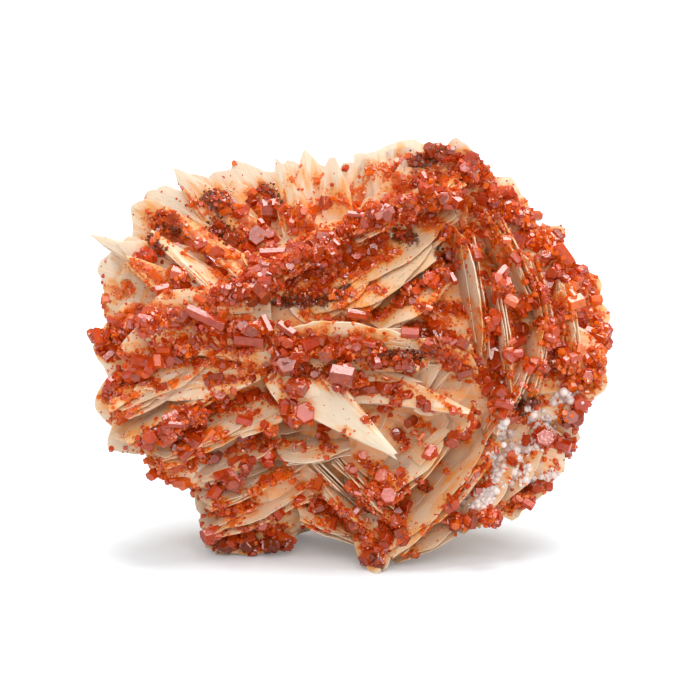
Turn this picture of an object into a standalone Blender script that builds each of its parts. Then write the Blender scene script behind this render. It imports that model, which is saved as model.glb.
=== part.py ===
"""Vanadinite on barite: a standing cluster of barite blades with crusts of red hexagonal crystals.

The specimen is laid out square-on in millimetres and then leaned back to stand on its feet:
  x    to the right
  v    up the face of the specimen, from its lowest foot
  d    out of the face, towards the front
"""

import math
import random

import bmesh
import bpy
from mathutils import Matrix, Vector
from mathutils.bvhtree import BVHTree

MM = 0.001
LEAN = math.radians(12)         # the face of the specimen leans back by this much
GROUND = 2.1                    # height, in the leaned layout, of the plane that the feet stand on
SETBACK = 9.85                  # brings the middle of the specimen's depth over the origin
GAP = 0.30                      # clear of the barite, left under every crystal
CRUMB = 2.0                     # mm3: what a cut leaves smaller than this is dropped

# Barite blades: name, root, tip, width, lie of the width (angle in the face, angle out of it),
# point (0 broad rim, 1 lance), copies, step from one copy to the next.
BLADES = [
    # the fan of broad blades at the upper left
    ("fan_corner", (-10, 42, 0), (-33.4, 55.2, -4), 12, (59, 12), 0.05, 1, (0, 0, 0)),
    ("fan_notch", (-8, 42, -2), (-27.0, 60.8, 0), 8, (44, 10), 0.4, 1, (0, 0, 0)),
    ("fan_round", (-6, 42, -1), (-17.9, 62.2, -6), 10, (29, 14), 0.2, 1, (0, 0, 0)),
    ("fan_slim", (-5, 42, 0), (-11.4, 62.2, 1), 5.5, (18, 12), 0.25, 1, (0, 0, 0)),
    ("fan_crown", (-3, 42, -1), (-7.2, 63.8, -5), 8, (10, 10), 0.25, 1, (0, 0, 0)),
    ("fan_tooth", (-1, 42, -2), (-2.9, 62.4, 0), 5, (4, 8), 0.15, 1, (0, 0, 0)),
    ("fan_spike", (-24, 44, -1), (-39.8, 50.8, -1), 6.0, (67, 10), 0.8, 1, (0, 0, 0)),
    ("fan_low", (-14, 41, 1), (-35.4, 49.4, 0), 8, (69, 12), 0.3, 1, (0, 0, 0)),
    ("fan_lance", (-13, 37.5, 8), (-30.2, 50.8, 5), 5.0, (52, -35), 0.7, 2, (2.2, 3.6, -1.0)),
    ("fan_lower_lance", (-17, 36.5, 7), (-34.0, 47.2, 3), 6.5, (57, -30), 0.5, 1, (0, 0, 0)),
    # slabs along the top edge
    ("top_slab", (8, 48, -3), (7.4, 65.2, -8), 15, (2, 6), -0.12, 1, (0, 0, 0)),
    ("top_right_slab", (15, 47, -2), (16.4, 64.8, -1), 13, (-12, 6), 0.2, 1, (0, 0, 0)),
    ("top_pale", (3, 46, -4), (1.6, 62.8, -2), 9, (6, 6), 0.1, 1, (0, 0, 0)),
    ("top_diagonal", (9.5, 46, 1), (2.0, 56.0, 4), 17, (38, 10), 0.25, 3, (3.4, 3.4, -1.6)),
    # broad blades that carry the outline round the right side
    ("right_top", (14, 40, -4), (24.4, 59.6, -9), 16, (-30, 5), 0.2, 1, (0, 0, 0)),
    ("right_shoulder", (14, 36, -3), (32.0, 51.8, -2), 19, (-50, 5), 0.2, 1, (0, 0, 0)),
    ("right_side", (14, 34, -2), (38.2, 43.0, -8), 22, (-70, 5), 0.05, 1, (0, 0, 0)),
    ("right_hip", (14, 30, -2), (38.6, 30.4, -1), 18, (-92, 5), 0.15, 1, (0, 0, 0)),
    ("right_low", (12, 27, -1), (34.4, 18.6, -6), 13, (-110, 5), 0.2, 1, (0, 0, 0)),
    ("right_under", (10, 24, 0), (30.6, 12.4, 0), 16, (-121, 5), 0.05, 1, (0, 0, 0)),
    ("right_heel", (8, 22, 1), (20.2, 7.2, -2), 14, (-141, 5), 0.3, 1, (0, 0, 0)),
    # broad blades that carry the outline down the left side
    ("left_top", (-20, 40, 0), (-38.6, 45.2, -4), 14, (100, 8), 0.0, 1, (0, 0, 0)),
    ("left_side", (-20, 33, 0), (-39.0, 34.6, 2), 14, (95, 8), 0.1, 1, (0, 0, 0)),
    ("left_low", (-20, 28, 0), (-38.9, 24.6, -3), 15, (78, 8), 0.15, 1, (0, 0, 0)),
    ("left_hem", (-18, 31, 1), (-29.8, 14.6, 3), 25, (-35, 5), 0.1, 1, (0, 0, 0)),
    # the long ridge under the fan, and the strips that run up to the right
    ("upper_ridge_left", (-14, 48, -2), (-7.6, 44.4, 10), 21, (21, 5), 0.2, 1, (0, 0, 0)),
    ("upper_ridge_right", (7, 57, -3), (9.6, 53.2, 8), 21, (24, 5), 0.2, 1, (0, 0, 0)),
    ("strip_high", (4.6, 51.0, -1), (9.4, 46.4, 9), 21, (32, 4), 0.15, 1, (0, 0, 0)),
    ("strip_mid", (3.2, 46.6, 2), (7.2, 42.0, 11.5), 18, (33, 4), 0.2, 1, (0, 0, 0)),
    ("strip_low", (6.6, 43.4, 4), (11.2, 38.8, 13), 15, (35, 4), 0.2, 1, (0, 0, 0)),
    ("strip_left", (-4, 45.0, 1), (0.4, 40.2, 9), 13, (33, 4), 0.2, 1, (0, 0, 0)),
    # the middle ridge: a long blade whose bright top edge crosses the face
    ("middle_ridge", (-2.4, 29.0, 6), (-3.6, 38.0, 15), 27, (-5, 0), 0.1, 1, (0, 0, 0)),
    ("middle_right", (13.0, 28.6, 6), (11.4, 35.2, 14), 14, (-12, 0), 0.2, 1, (0, 0, 0)),
    ("middle_left", (-15, 34.0, 6), (-35.0, 32.8, 6), 11, (86, 10), 0.2, 2, (3, 4.2, 2.4)),
    ("left_slope", (-14, 31.0, 7), (-32.6, 27.2, 7), 8, (75, -20), 0.3, 1, (0, 0, 0)),
    # leaves that lean out of the middle
    ("bright_leaf", (-10.4, 34.0, 9), (6.8, 17.0, 16), 7.6, (45, 10), 0.85, 1, (0, 0, 0)),
    ("right_leaf", (-1.6, 29.4, 8), (17.4, 24.0, 14), 7.4, (76, -12), 0.8, 1, (0, 0, 0)),
    ("upper_leaf", (-2, 32.8, 6), (10.0, 30.4, 13), 4.6, (80, -15), 0.6, 1, (0, 0, 0)),
    ("steep_leaf", (11.6, 33.0, 4), (15.6, 30.4, 11), 12, (62, 0), 0.2, 2, (-3.0, -1.6, 0.4)),
    # steep blades of the right dome, rims to the front
    ("dome_edge", (16.6, 41.4, 2), (19.4, 41.2, 14.5), 21, (98, 0), 0.2, 1, (0, 0, 0)),
    ("dome_inner", (21.0, 36.6, 1), (23.0, 36.0, 13.5), 15, (100, 0), 0.2, 1, (0, 0, 0)),
    ("dome_upper", (22.0, 47.0, -1), (25.0, 46.6, 11), 15, (116, 0), 0.2, 1, (0, 0, 0)),
    ("dome_outer", (26.2, 41.0, -1), (29.4, 40.6, 8.5), 15, (108, 0), 0.2, 1, (0, 0, 0)),
    ("dome_lower", (25.6, 31.0, 0), (28.6, 30.2, 10), 15, (82, 0), 0.2, 1, (0, 0, 0)),
    ("dome_rim", (30.6, 36.4, -3), (34.0, 36.0, 4.5), 16, (95, 0), 0.2, 1, (0, 0, 0)),
    ("dome_foot", (22.4, 26.8, 1), (24.6, 25.2, 11.5), 13, (66, 0), 0.2, 1, (0, 0, 0)),
    # the open book of blades at the lower right
    ("book_wide", (9.2, 14.4, 0), (15.0, 10.2, 10), 26, (47, 0), 0.1, 1, (0, 0, 0)),
    ("book_second", (6.8, 19.0, 3), (11.8, 15.6, 13), 17, (49, 0), 0.25, 1, (0, 0, 0)),
    ("book_small", (14.2, 23.6, 5), (17.6, 21.8, 13), 8, (52, 0), 0.2, 1, (0, 0, 0)),
    ("book_heel", (9.0, 8.6, -1), (12.4, 3.4, 7), 16, (24, 0), 0.2, 1, (0, 0, 0)),
    ("book_outer", (17.0, 14.0, 0), (22.6, 10.8, 7), 17, (50, 0), 0.25, 2, (4.6, 3.0, -2.4)),
    # shingled rows of the lower left
    ("row_high", (-29.0, 31.0, 1), (-26.0, 26.8, 10), 20, (28, 0), 0.15, 1, (0, 0, 0)),
    ("row_mid", (-28.0, 26.6, 0), (-25.0, 22.4, 10), 21, (28, 0), 0.15, 1, (0, 0, 0)),
    ("row_low", (-22.0, 24.4, 0), (-19.2, 19.6, 9.5), 21, (27, 0), 0.15, 1, (0, 0, 0)),
    ("row_inner", (-13.0, 26.4, 2), (-10.4, 22.4, 11), 14, (25, 0), 0.2, 1, (0, 0, 0)),
    # the block that stands on the left foot
    ("block_top", (-18.4, 19.4, -1), (-15.6, 15.4, 8), 15, (27, 0), 0.15, 1, (0, 0, 0)),
    ("block_mid", (-16.0, 16.0, -2), (-13.2, 11.8, 7.5), 18, (25, 0), 0.15, 1, (0, 0, 0)),
    ("block_low", (-15.4, 12.0, -3), (-12.6, 7.8, 6), 20, (22, 0), 0.15, 1, (0, 0, 0)),
    ("block_sole", (-15.6, 9.0, -6), (-15.4, 2.1, 0.4), 15, (3, 0), 0.1, 1, (0, 0, 0)),
    ("block_side", (-12, 11.6, -3), (-23.6, 9.0, -2), 13.6, (97, 6), 0.0, 1, (0, 0, 0)),
    ("block_ledge", (-6.4, 20.4, 3), (-4.8, 16.4, 12), 11, (8, 0), 0.2, 1, (0, 0, 0)),
    # small blades that run down to the front foot
    ("keel_high", (-4.6, 15.6, 2), (-2.0, 13.0, 10), 9, (-46, 0), 0.25, 2, (3.2, 0.4, 0.4)),
    ("keel_mid", (0.2, 10.6, 1), (0.0, 7.6, 10), 13, (-44, 0), 0.25, 2, (3.8, 1.4, 0.6)),
    ("keel_low", (-3.4, 9.0, -2), (-3.0, 5.4, 7), 12, (-22, 0), 0.2, 1, (0, 0, 0)),
    ("keel_foot", (2.2, 12, 2), (3.9, -0.9, 9.6), 7, (0, 30), 0.3, 1, (0, 0, 0)),
    # the back: slabs that step down it, and the two feet that it stands on
    ("back_crown", (-4, 50, -4), (-7, 59.0, -11), 24, (8, 0), 0.2, 1, (0, 0, 0)),
    ("back_high", (9, 46, -5), (14, 56.0, -16), 24, (-24, 0), 0.2, 1, (0, 0, 0)),
    ("back_shoulder", (-14, 42, -4), (-26, 51.0, -12), 20, (42, 0), 0.2, 1, (0, 0, 0)),
    ("back_upper_slab", (-2, 44, -5), (-4, 49.0, -21), 28, (10, 0), 0.15, 1, (0, 0, 0)),
    ("back_middle_slab", (2, 38, -6), (0, 39.0, -24), 30, (-6, 0), 0.15, 1, (0, 0, 0)),
    ("back_left_slab", (-18, 36, -4), (-27, 37.0, -17), 20, (70, 0), 0.2, 2, (-6.6, -1.0, 3.4)),
    ("back_right_slab", (20, 38, -4), (28, 41.0, -15), 20, (-66, 0), 0.2, 2, (5.6, -5.0, 3.0)),
    ("back_low_slab", (0, 31, -6), (-2, 29.0, -23), 28, (12, 0), 0.2, 1, (0, 0, 0)),
    ("back_low_right", (14, 27, -5), (20, 22.4, -18), 20, (-34, 0), 0.2, 1, (0, 0, 0)),
    ("back_low_left", (-16, 26, -4), (-23, 21.4, -15), 20, (30, 0), 0.2, 1, (0, 0, 0)),
    ("back_hem", (2, 21, -6), (2, 16.4, -20), 22, (-6, 0), 0.2, 1, (0, 0, 0)),
    ("back_foot", (6.0, 16, -8), (9.0, 4.4, -18), 13, (0, 0), 0.15, 1, (0, 0, 0)),
    ("back_heel", (-9.0, 15, -7), (-12.0, 4.2, -14), 11, (0, 10), 0.15, 1, (0, 0, 0)),
]

# The body that the blades grow from: centre, radii and fineness of its lobes.
LOBES = [
    ((1, 36, -6), (27, 19, 13), 2),
    ((13, 32, -4), (18, 17, 13), 1),
    ((-13, 13, -4), (8.5, 10, 8), 1),
    ((0, 19, -5), (13, 13, 12), 1),
    ((-21, 33, -4), (14, 14, 11), 1),
]

# Ways to look at the specimen from, in the layout.
SIDES = {
    "front": Vector((0, 0, 1)),
    "back": Vector((0, 0, -1)),
    "right": Vector((1, 0, 0)),
    "left": Vector((-1, 0, 0)),
    "top": Vector((0, 1, 0)),
    "under": Vector((0, -1, 0)),
}

# Bands of vanadinite: name, side it is seen from, line that it follows (front and back: x and v;
# right and left: d and v; top and under: x and d), crystals, their radii, spread to either side.
BANDS = [
    ("fan_hub", "front", [(-14.0, 55.4), (-12.4, 50.6), (-11.4, 47.2)], 4, (1.5, 2.0), 0.3),
    ("fan_spot_high", "front", [(-20.9, 56.6), (-19.4, 55.8)], 2, (1.2, 1.5), 0.3),
    ("fan_spot_left", "front", [(-29.2, 52.9), (-26.6, 52.3)], 2, (1.2, 1.5), 0.3),
    ("fan_spot_low", "front", [(-21.8, 52.4), (-17.4, 49.2)], 2, (1.3, 1.6), 0.3),
    ("fan_edge", "front", [(-32.0, 48.2), (-27.4, 45.2), (-24.2, 41.2)], 3, (1.4, 1.8), 0.3),
    ("upper_ridge", "front",
     [(-20.7, 40.8), (-15.4, 43), (-7.9, 46.5), (-0.3, 50.6), (7.2, 53.6), (14.8, 56.6), (19.3, 60.4)],
     16, (1.6, 2.2), 0.3),
    ("top_edge", "front", [(5.6, 60.6), (12.6, 62.4), (18.4, 60.6), (21.6, 56.6)], 5, (1.5, 2.0), 0.3),
    ("middle_ridge", "front",
     [(-38.2, 34), (-33.5, 37), (-26, 38), (-18.4, 36.5), (-12.4, 35), (-6.3, 34.2), (-0.3, 33.6), (8.2, 33)],
     16, (1.7, 2.3), 0.3),
    ("left_slope", "front", [(-36.8, 28.4), (-30.6, 31.4), (-22.8, 33.6)], 4, (1.5, 1.9), 0.3),
    ("row_high", "front", [(-32, 20.2), (-25.2, 22), (-17, 26.4)], 6, (1.5, 2.0), 0.3),
    ("row_low", "front", [(-29, 16.8), (-20.6, 17), (-13.6, 21), (-7.8, 25)], 6, (1.4, 1.8), 0.3),
    ("block_high", "front", [(-22.4, 12.4), (-15.4, 15.8), (-11.6, 17.6)], 4, (1.3, 1.7), 0.3),
    ("block_low", "front", [(-21.0, 7.8), (-14.2, 10)], 3, (1.3, 1.7), 0.3),
    ("left_foot", "front", [(-22.4, 4.2), (-17, 4.0), (-9.0, 4.4)], 5, (1.6, 2.0), 0.3),
    ("leaf_left", "front", [(-9.4, 31.4), (-9.0, 31.6)], 1, (2.0, 2.1), 0.1),
    ("leaf_corner", "front", [(-7.2, 27.8), (-7.0, 27.9)], 1, (1.7, 1.8), 0.1),
    ("leaf_flat", "front", [(-7.9, 23.8), (-7.8, 23.9)], 1, (1.7, 1.8), 0.1),
    ("leaf_right", "front", [(-1.2, 29.6), (1.4, 28.2)], 2, (1.8, 2.1), 0.2),
    ("outer_side", "front", [(38.0, 35.2), (38.0, 35.3)], 1, (1.8, 1.9), 0.1),
    ("outer_corner", "front", [(32.4, 19.0), (32.4, 19.1)], 1, (2.0, 2.1), 0.1),
    ("strip_left", "front", [(6.4, 40), (11, 42.8), (15.6, 46)], 3, (1.3, 1.6), 0.3),
    ("strip_right", "front", [(8, 37.6), (13, 36.2), (17.8, 34)], 4, (1.6, 2.0), 0.4),
    ("right_leaf", "front", [(6.0, 27.0), (11.8, 24.0)], 2, (1.1, 1.4), 0.3),
    ("dome_top", "front", [(22.4, 57.4), (25.4, 52.6), (23.2, 48.4)], 4, (1.6, 2.1), 0.4),
    ("dome_high", "front", [(24, 50), (28.4, 48.4), (33.8, 43.8), (36.4, 37.8)], 7, (1.6, 2.2), 0.4),
    ("dome_inner", "front", [(22, 46), (22.4, 40.8), (21.6, 36), (20, 30.2)], 5, (1.6, 2.1), 0.4),
    ("dome_middle", "front", [(26.9, 41), (28.6, 36.4), (31.4, 33.2), (33, 27)], 6, (1.7, 2.2), 0.5),
    ("dome_low", "front", [(36.2, 32.4), (35.2, 26), (32, 22.4)], 4, (1.6, 2.1), 0.4),
    ("cliff", "front", [(17.8, 30), (21, 25.8), (26.4, 22)], 3, (1.5, 2.0), 0.4),
    ("book_edge", "front", [(15.0, 6.4), (22.4, 9), (28.6, 13.6)], 5, (1.5, 2.0), 0.3),
    ("keel", "front", [(-6.2, 9.8), (-0.3, 6.4), (3.6, 3.4)], 4, (1.4, 1.9), 0.3),
    ("keel_side", "front", [(-0.8, 16), (4.6, 9.6)], 2, (1.3, 1.6), 0.3),
    ("right_flank", "right", [(-9, 46), (-8, 36), (-9, 26)], 4, (1.6, 2.1), 0.8),
    ("left_flank", "left", [(-6, 45), (-5, 26)], 3, (1.6, 2.1), 0.8),
    ("top_flank", "top", [(-18, -7), (-2, -9), (14, -8), (22, -7)], 4, (1.5, 2.0), 0.6),
    ("back_ridge", "back", [(12, 52), (-6, 50), (-20, 44)], 4, (1.6, 2.1), 0.5),
]

# Beads of calcite over the lower right: line, beads, their radii, spread.
BEADS = (
    "front", [(20.8, 22.4), (25.6, 19.0), (21.2, 15.4), (17.6, 11.0), (27.4, 14.6)], 16, (1.0, 1.5), 0.7)

SOLIDS = 50                     # crusts and crystals kept as solids, the largest first
BEAD_SOLIDS = 4                 # clusters of beads kept

# How the crystals sit on the barite.
LEAN_OUT = 0.5                  # towards the side that a band is seen from, against the surface's own way
TILT = 0.35                     # scatter of their axes
STUBBY = (1.2, 2.2)             # length of a crystal against its radius
STAND = 0.28                    # share of the length from the surface to the crystal's middle
BEAD_STAND = 0.6                # share of the smallest radius from the surface to a bead's middle
FAR = 60                        # well outside the specimen

# Finishes: colour and roughness.
BARITE = ((0.85, 0.66, 0.48), 0.6)
VANADINITE = ((0.55, 0.05, 0.01), 0.2)
CALCITE = ((0.90, 0.86, 0.84), 0.5)

# The build of a blade.
THICK = 1.25                    # through its middle
THICK_BASE, THICK_BY_WIDTH = 0.75, 0.03
BEVEL = 0.82                    # its back face against its front face
ROOT_SHARE = 0.62               # width of its root against its widest
WAIST_SHARE = 0.35              # how much a full point draws in the rim
WIDEST = 0.45                   # share of its length where it is widest
RIM_POINTS = 5
RIM_SPAN = 0.92                 # the rim's points against the half width
RIM_DROP, POINT_DROP = 0.16, 0.62
RIM_ROUND = 1.4                 # how the rim falls off to its sides
RIM_RAGGED = 0.05
TURN = 3                        # degrees by which the lie of a copy strays
SHARPEST = 0.45                 # limits how far a grown corner moves out

STRAIGHT = 0.01                 # radians: edges that bend less than this are straight


def stood(point):
    """A point of the layout, in millimetres, as it stands in the world, in metres."""
    x, v, d = point
    height = v * math.cos(LEAN) + d * math.sin(LEAN) - GROUND
    depth = v * math.sin(LEAN) - d * math.cos(LEAN) - SETBACK
    return Vector((x, depth, height)) * MM


def layout_direction(in_face, out_of_face):
    """Unit vector of the layout from an angle in the face and one out of it, in degrees."""
    a, e = math.radians(in_face), math.radians(out_of_face)
    return Vector((math.cos(a) * math.cos(e), math.sin(a) * math.cos(e), math.sin(e)))


def blade_outline(length, width, point, dice):
    """Corners of a blade as (along, across), from its root round its rim."""
    half = width / 2
    sides = [RIM_SPAN * (2 * i / (RIM_POINTS - 1) - 1) for i in range(RIM_POINTS)]
    drop = RIM_DROP + POINT_DROP * point
    rim = [1 - drop * abs(s) ** RIM_ROUND + RIM_RAGGED * dice.uniform(-1, 1) for s in sides]
    waist = 1 - WAIST_SHARE * point
    corners = [(0.0, -half * ROOT_SHARE), (length * WIDEST, -half)]
    corners += [(length * r / max(rim), half * s * waist) for r, s in zip(rim, sides)]
    corners += [(length * WIDEST, half), (0.0, half * ROOT_SHARE)]
    return [Vector(c) for c in corners]


def grown(outline, by):
    """The outline with every side moved out by a distance."""
    out = []
    for i, here in enumerate(outline):
        before = (here - outline[i - 1]).normalized()
        after = (outline[(i + 1) % len(outline)] - here).normalized()
        normals = [Vector((e.y, -e.x)) for e in (before, after)]
        middle = (normals[0] + normals[1]).normalized()
        reach = by / max(SHARPEST, middle.dot(normals[0]))
        out.append(here + middle * reach)
    return out


def add_prism(mesh, front, back):
    """A closed solid between two rings of points, front counter-clockwise seen from in front."""
    tops = [mesh.verts.new(p) for p in front]
    bases = [mesh.verts.new(p) for p in back]
    mesh.faces.new(tops)
    mesh.faces.new(bases[::-1])
    for i in range(len(tops)):
        j = (i + 1) % len(tops)
        mesh.faces.new((tops[j], tops[i], bases[i], bases[j]))


def add_blade(mesh, root, tip, width, lie, point, grow, dice):
    """A flat blade from its root to its tip, its front face the larger one."""
    root, tip = Vector(root), Vector(tip)
    along = (tip - root).normalized()
    across = layout_direction(*lie)
    across = (across - across.dot(along) * along).normalized()
    normal = along.cross(across)
    if normal.z < 0:
        across, normal = -across, -normal
    outline = blade_outline((tip - root).length, width, point, dice)
    middle = Vector((sum(c.x for c in outline), sum(c.y for c in outline))) / len(outline)
    small = [middle + (c - middle) * BEVEL for c in outline]
    thick = THICK * (THICK_BASE + THICK_BY_WIDTH * width) / 2
    rings = []
    for ring, level in ((outline, thick), (small, -thick)):
        level += math.copysign(grow, level)
        corners = grown(ring, grow) if grow else ring
        rings.append([stood(root + along * c.x + across * c.y + normal * level) for c in corners])
    add_prism(mesh, *rings)


def add_blades(mesh, grow):
    for name, root, tip, width, lie, point, copies, step in BLADES:
        for i in range(copies):
            dice = random.Random(f"{name} {i}")
            shift = Vector(step) * i
            turn = [angle + dice.uniform(-TURN, TURN) for angle in lie]
            add_blade(mesh, Vector(root) + shift, Vector(tip) + shift, width, turn, point, grow, dice)


def add_lobe(mesh, centre, radii, fineness, grow):
    made = bmesh.ops.create_icosphere(mesh, subdivisions=fineness, radius=1)
    for vert in made["verts"]:
        spot = Vector(centre) + Vector([c * (r + grow) for c, r in zip(vert.co, radii)])
        vert.co = stood(spot)


def new_object(name, mesh):
    data = bpy.data.meshes.new(name)
    mesh.to_mesh(data)
    mesh.free()
    thing = bpy.data.objects.new(name, data)
    bpy.context.scene.collection.objects.link(thing)
    return thing


def barite_solid(name, grow=0.0):
    """Every lobe and blade joined into one closed solid."""
    loose = bmesh.new()
    for lobe in LOBES[1:]:
        add_lobe(loose, *lobe, grow)
    add_blades(loose, grow)
    body = bmesh.new()
    add_lobe(body, *LOBES[0], grow)
    solid, others = new_object(name, body), new_object(name + "_parts", loose)
    join = solid.modifiers.new("join", "BOOLEAN")
    join.operation, join.solver, join.object, join.use_self = "UNION", "EXACT", others, True
    apply_modifiers(solid)
    bpy.data.objects.remove(others)
    return solid


def apply_modifiers(thing):
    graph = bpy.context.evaluated_depsgraph_get()
    data = bpy.data.meshes.new_from_object(thing.evaluated_get(graph))
    thing.modifiers.clear()
    thing.data = data


def add_crystal(mesh, centre, axis, radius, length, spin):
    """A six-sided prism with flat ends, given in the layout."""
    turn = Vector((0, 0, 1)).rotation_difference(axis).to_matrix()
    rings = []
    for level in (length / 2, -length / 2):
        angles = [spin + i * math.pi / 3 for i in range(6)]
        ring = [Vector((math.cos(a) * radius, math.sin(a) * radius, level)) for a in angles]
        rings.append([stood(centre + turn @ corner) for corner in ring])
    add_prism(mesh, *rings)


def along_line(points, share):
    """The point at a share of the way along a line of points."""
    spans = [(b - a).length for a, b in zip(points, points[1:])]
    reach = share * sum(spans)
    for start, end, span in zip(points, points[1:], spans):
        if reach <= span:
            return start.lerp(end, reach / span)
        reach -= span
    return points[-1]


def side_point(side, pair):
    """A pair of a band, as a point of the layout."""
    first, second = pair
    if side in ("front", "back"):
        return Vector((first, second, 0))
    if side in ("right", "left"):
        return Vector((0, second, first))
    return Vector((first, 0, second))


def unstood(point):
    """The layout's point of a world point."""
    x, y, z = point / MM + Vector((0, SETBACK, GROUND))
    return Vector((x, y * math.sin(LEAN) + z * math.cos(LEAN), z * math.sin(LEAN) - y * math.cos(LEAN)))


def landings(surface, name, side, line, count, spread):
    """Spots along a band where something grows: its dice, place and way out of the surface."""
    outward = SIDES[side]
    points = [side_point(side, pair) for pair in line]
    for i in range(count):
        dice = random.Random(f"{name} {i}")
        spot = along_line(points, (i + dice.uniform(0.2, 0.8)) / count)
        spot += Vector([dice.gauss(0, spread) for _ in range(3)])
        spot -= spot.dot(outward) * outward
        start, end = stood(spot + outward * FAR), stood(spot - outward * FAR)
        hit, normal, _, _ = surface.ray_cast(start, (end - start).normalized())
        if hit is not None:
            away = (unstood(hit + normal * MM) - unstood(hit)).normalized()
            yield dice, unstood(hit), (away + outward * LEAN_OUT).normalized()


def add_bands(mesh, surface, grow):
    """Every crystal of every band, telling the band and the middle of each."""
    for name, side, line, count, radii, spread in BANDS:
        for dice, hit, away in landings(surface, name, side, line, count, spread):
            tilt = Vector([dice.gauss(0, TILT) for _ in range(3)])
            axis = (away + tilt).normalized()
            radius = dice.uniform(*radii)
            length = radius * dice.uniform(*STUBBY)
            centre = hit + axis * length * STAND
            add_crystal(mesh, centre, axis, radius + grow, length + 2 * grow, dice.uniform(0, math.pi))
            yield name, stood(centre)


def add_beads(mesh, surface):
    side, line, count, radii, spread = BEADS
    for dice, hit, away in landings(surface, "bead", side, line, count, spread):
        made = bmesh.ops.create_icosphere(mesh, subdivisions=1, radius=dice.uniform(*radii))
        for vert in made["verts"]:
            vert.co = stood(hit + away * radii[0] * BEAD_STAND + vert.co)


def islands(mesh):
    """The faces of a bmesh, body by body."""
    left = dict.fromkeys(mesh.faces)
    while left:
        seed = next(iter(left))
        del left[seed]
        body, queue = [seed], [seed]
        while queue:
            for edge in queue.pop().edges:
                for face in edge.link_faces:
                    if face in left:
                        del left[face]
                        body.append(face)
                        queue.append(face)
        yield body


def body_volume(faces):
    """Signed volume in mm3: below zero for the wall of a sealed pocket."""
    total = 0.0
    for face in faces:
        corners = [v.co / MM for v in face.verts]
        for b, c in zip(corners[1:], corners[2:]):
            total += corners[0].dot(b.cross(c)) / 6
    return total


def simplify(mesh):
    """Drop the points that a cut leaves in the middle of straight edges, and make triangles."""
    bmesh.ops.dissolve_limit(mesh, angle_limit=STRAIGHT, verts=mesh.verts, edges=mesh.edges)
    bmesh.ops.triangulate(mesh, faces=mesh.faces)


def bodies_of(thing):
    """The solid bodies of an object, the largest first, each as a mesh of its own."""
    mesh = bmesh.new()
    mesh.from_mesh(thing.data)
    simplify(mesh)
    found = sorted(islands(mesh), key=body_volume, reverse=True)
    for faces in found:
        if body_volume(faces) < CRUMB:
            break
        body = bmesh.new()
        copies = {v: body.verts.new(v.co) for v in dict.fromkeys(v for f in faces for v in f.verts)}
        for face in faces:
            body.faces.new([copies[v] for v in face.verts])
        yield body
    mesh.free()


def boolean(thing, other, operation):
    cut = thing.modifiers.new("cut", "BOOLEAN")
    cut.operation, cut.solver, cut.object, cut.use_self = operation, "EXACT", other, True
    apply_modifiers(thing)


def ground_block():
    """Everything under the plane that the feet stand on."""
    mesh = bmesh.new()
    size = 3 * FAR * MM
    bmesh.ops.create_cube(mesh, size=size, matrix=Matrix.Translation((0, 0, -size / 2)))
    return new_object("ground_cutter", mesh)


def finish_node(name, body, colour, roughness):
    thing = new_object(name, body)
    material = bpy.data.materials.new(name)
    material.use_nodes = True
    shader = material.node_tree.nodes["Principled BSDF"]
    shader.inputs["Base Color"].default_value = (*colour, 1)
    shader.inputs["Roughness"].default_value = roughness
    thing.data.materials.append(material)
    return thing


def clear_scene():
    for thing in list(bpy.data.objects):
        bpy.data.objects.remove(thing)


def ray_surface(thing):
    """The surface of an object, to cast rays on."""
    data = thing.data
    return BVHTree.FromPolygons([v.co for v in data.vertices], [p.vertices for p in data.polygons])


def cut_object(name, fill, *cutters):
    """An object of the shapes that a function adds to a mesh, less its cutters."""
    mesh = bmesh.new()
    told = fill(mesh)
    thing = new_object(name, mesh)
    for cutter in cutters:
        boolean(thing, cutter, "DIFFERENCE")
    return thing, told


def name_bodies(bodies, middles, stem):
    """A node for each body, named for the band of the crystal nearest to its middle."""
    seen = {}
    for body in bodies:
        centre = sum((v.co for v in body.verts), Vector()) / len(body.verts)
        band = min(middles, key=lambda told: (told[1] - centre).length)[0]
        seen.setdefault(band, []).append(body)
    for band, group in seen.items():
        for i, body in enumerate(group):
            yield f"{stem}_{band}" + (f"_{i + 1}" if len(group) > 1 else ""), body


def main():
    clear_scene()
    ground = ground_block()
    rough = barite_solid("rough_barite")
    boolean(rough, ground, "DIFFERENCE")
    matrix = finish_node("barite_matrix", next(bodies_of(rough)), *BARITE)
    surface = ray_surface(matrix)
    clearance = barite_solid("barite_clearance", GAP)
    crust, middles = cut_object(
        "rough_crust", lambda mesh: list(add_bands(mesh, surface, 0)), clearance, ground)
    for name, body in name_bodies(list(bodies_of(crust))[:SOLIDS], middles, "vanadinite"):
        finish_node(name, body, *VANADINITE)
    crystals, _ = cut_object("crystal_clearance", lambda mesh: list(add_bands(mesh, surface, GAP)))
    beads, _ = cut_object("rough_beads", lambda mesh: add_beads(mesh, surface), clearance, crystals)
    for i, body in enumerate(list(bodies_of(beads))[:BEAD_SOLIDS]):
        finish_node(f"calcite_beads_{i + 1}", body, *CALCITE)
    for cutter in (ground, rough, clearance, crust, crystals, beads):
        bpy.data.objects.remove(cutter)


main()
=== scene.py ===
"""Looks of the vanadinite on barite: fine barite blades, hexagonal crystals, calcite beads, floor, light.

Shapes are laid out square-on in millimetres and then leaned back, as the solids are:
  x    to the right
  v    up the face of the specimen, from its lowest foot
  d    out of the face, towards the front
"""

import math
import random

import bmesh
import bpy
import numpy as np
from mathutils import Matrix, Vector
from mathutils.bvhtree import BVHTree
from mathutils.kdtree import KDTree


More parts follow.
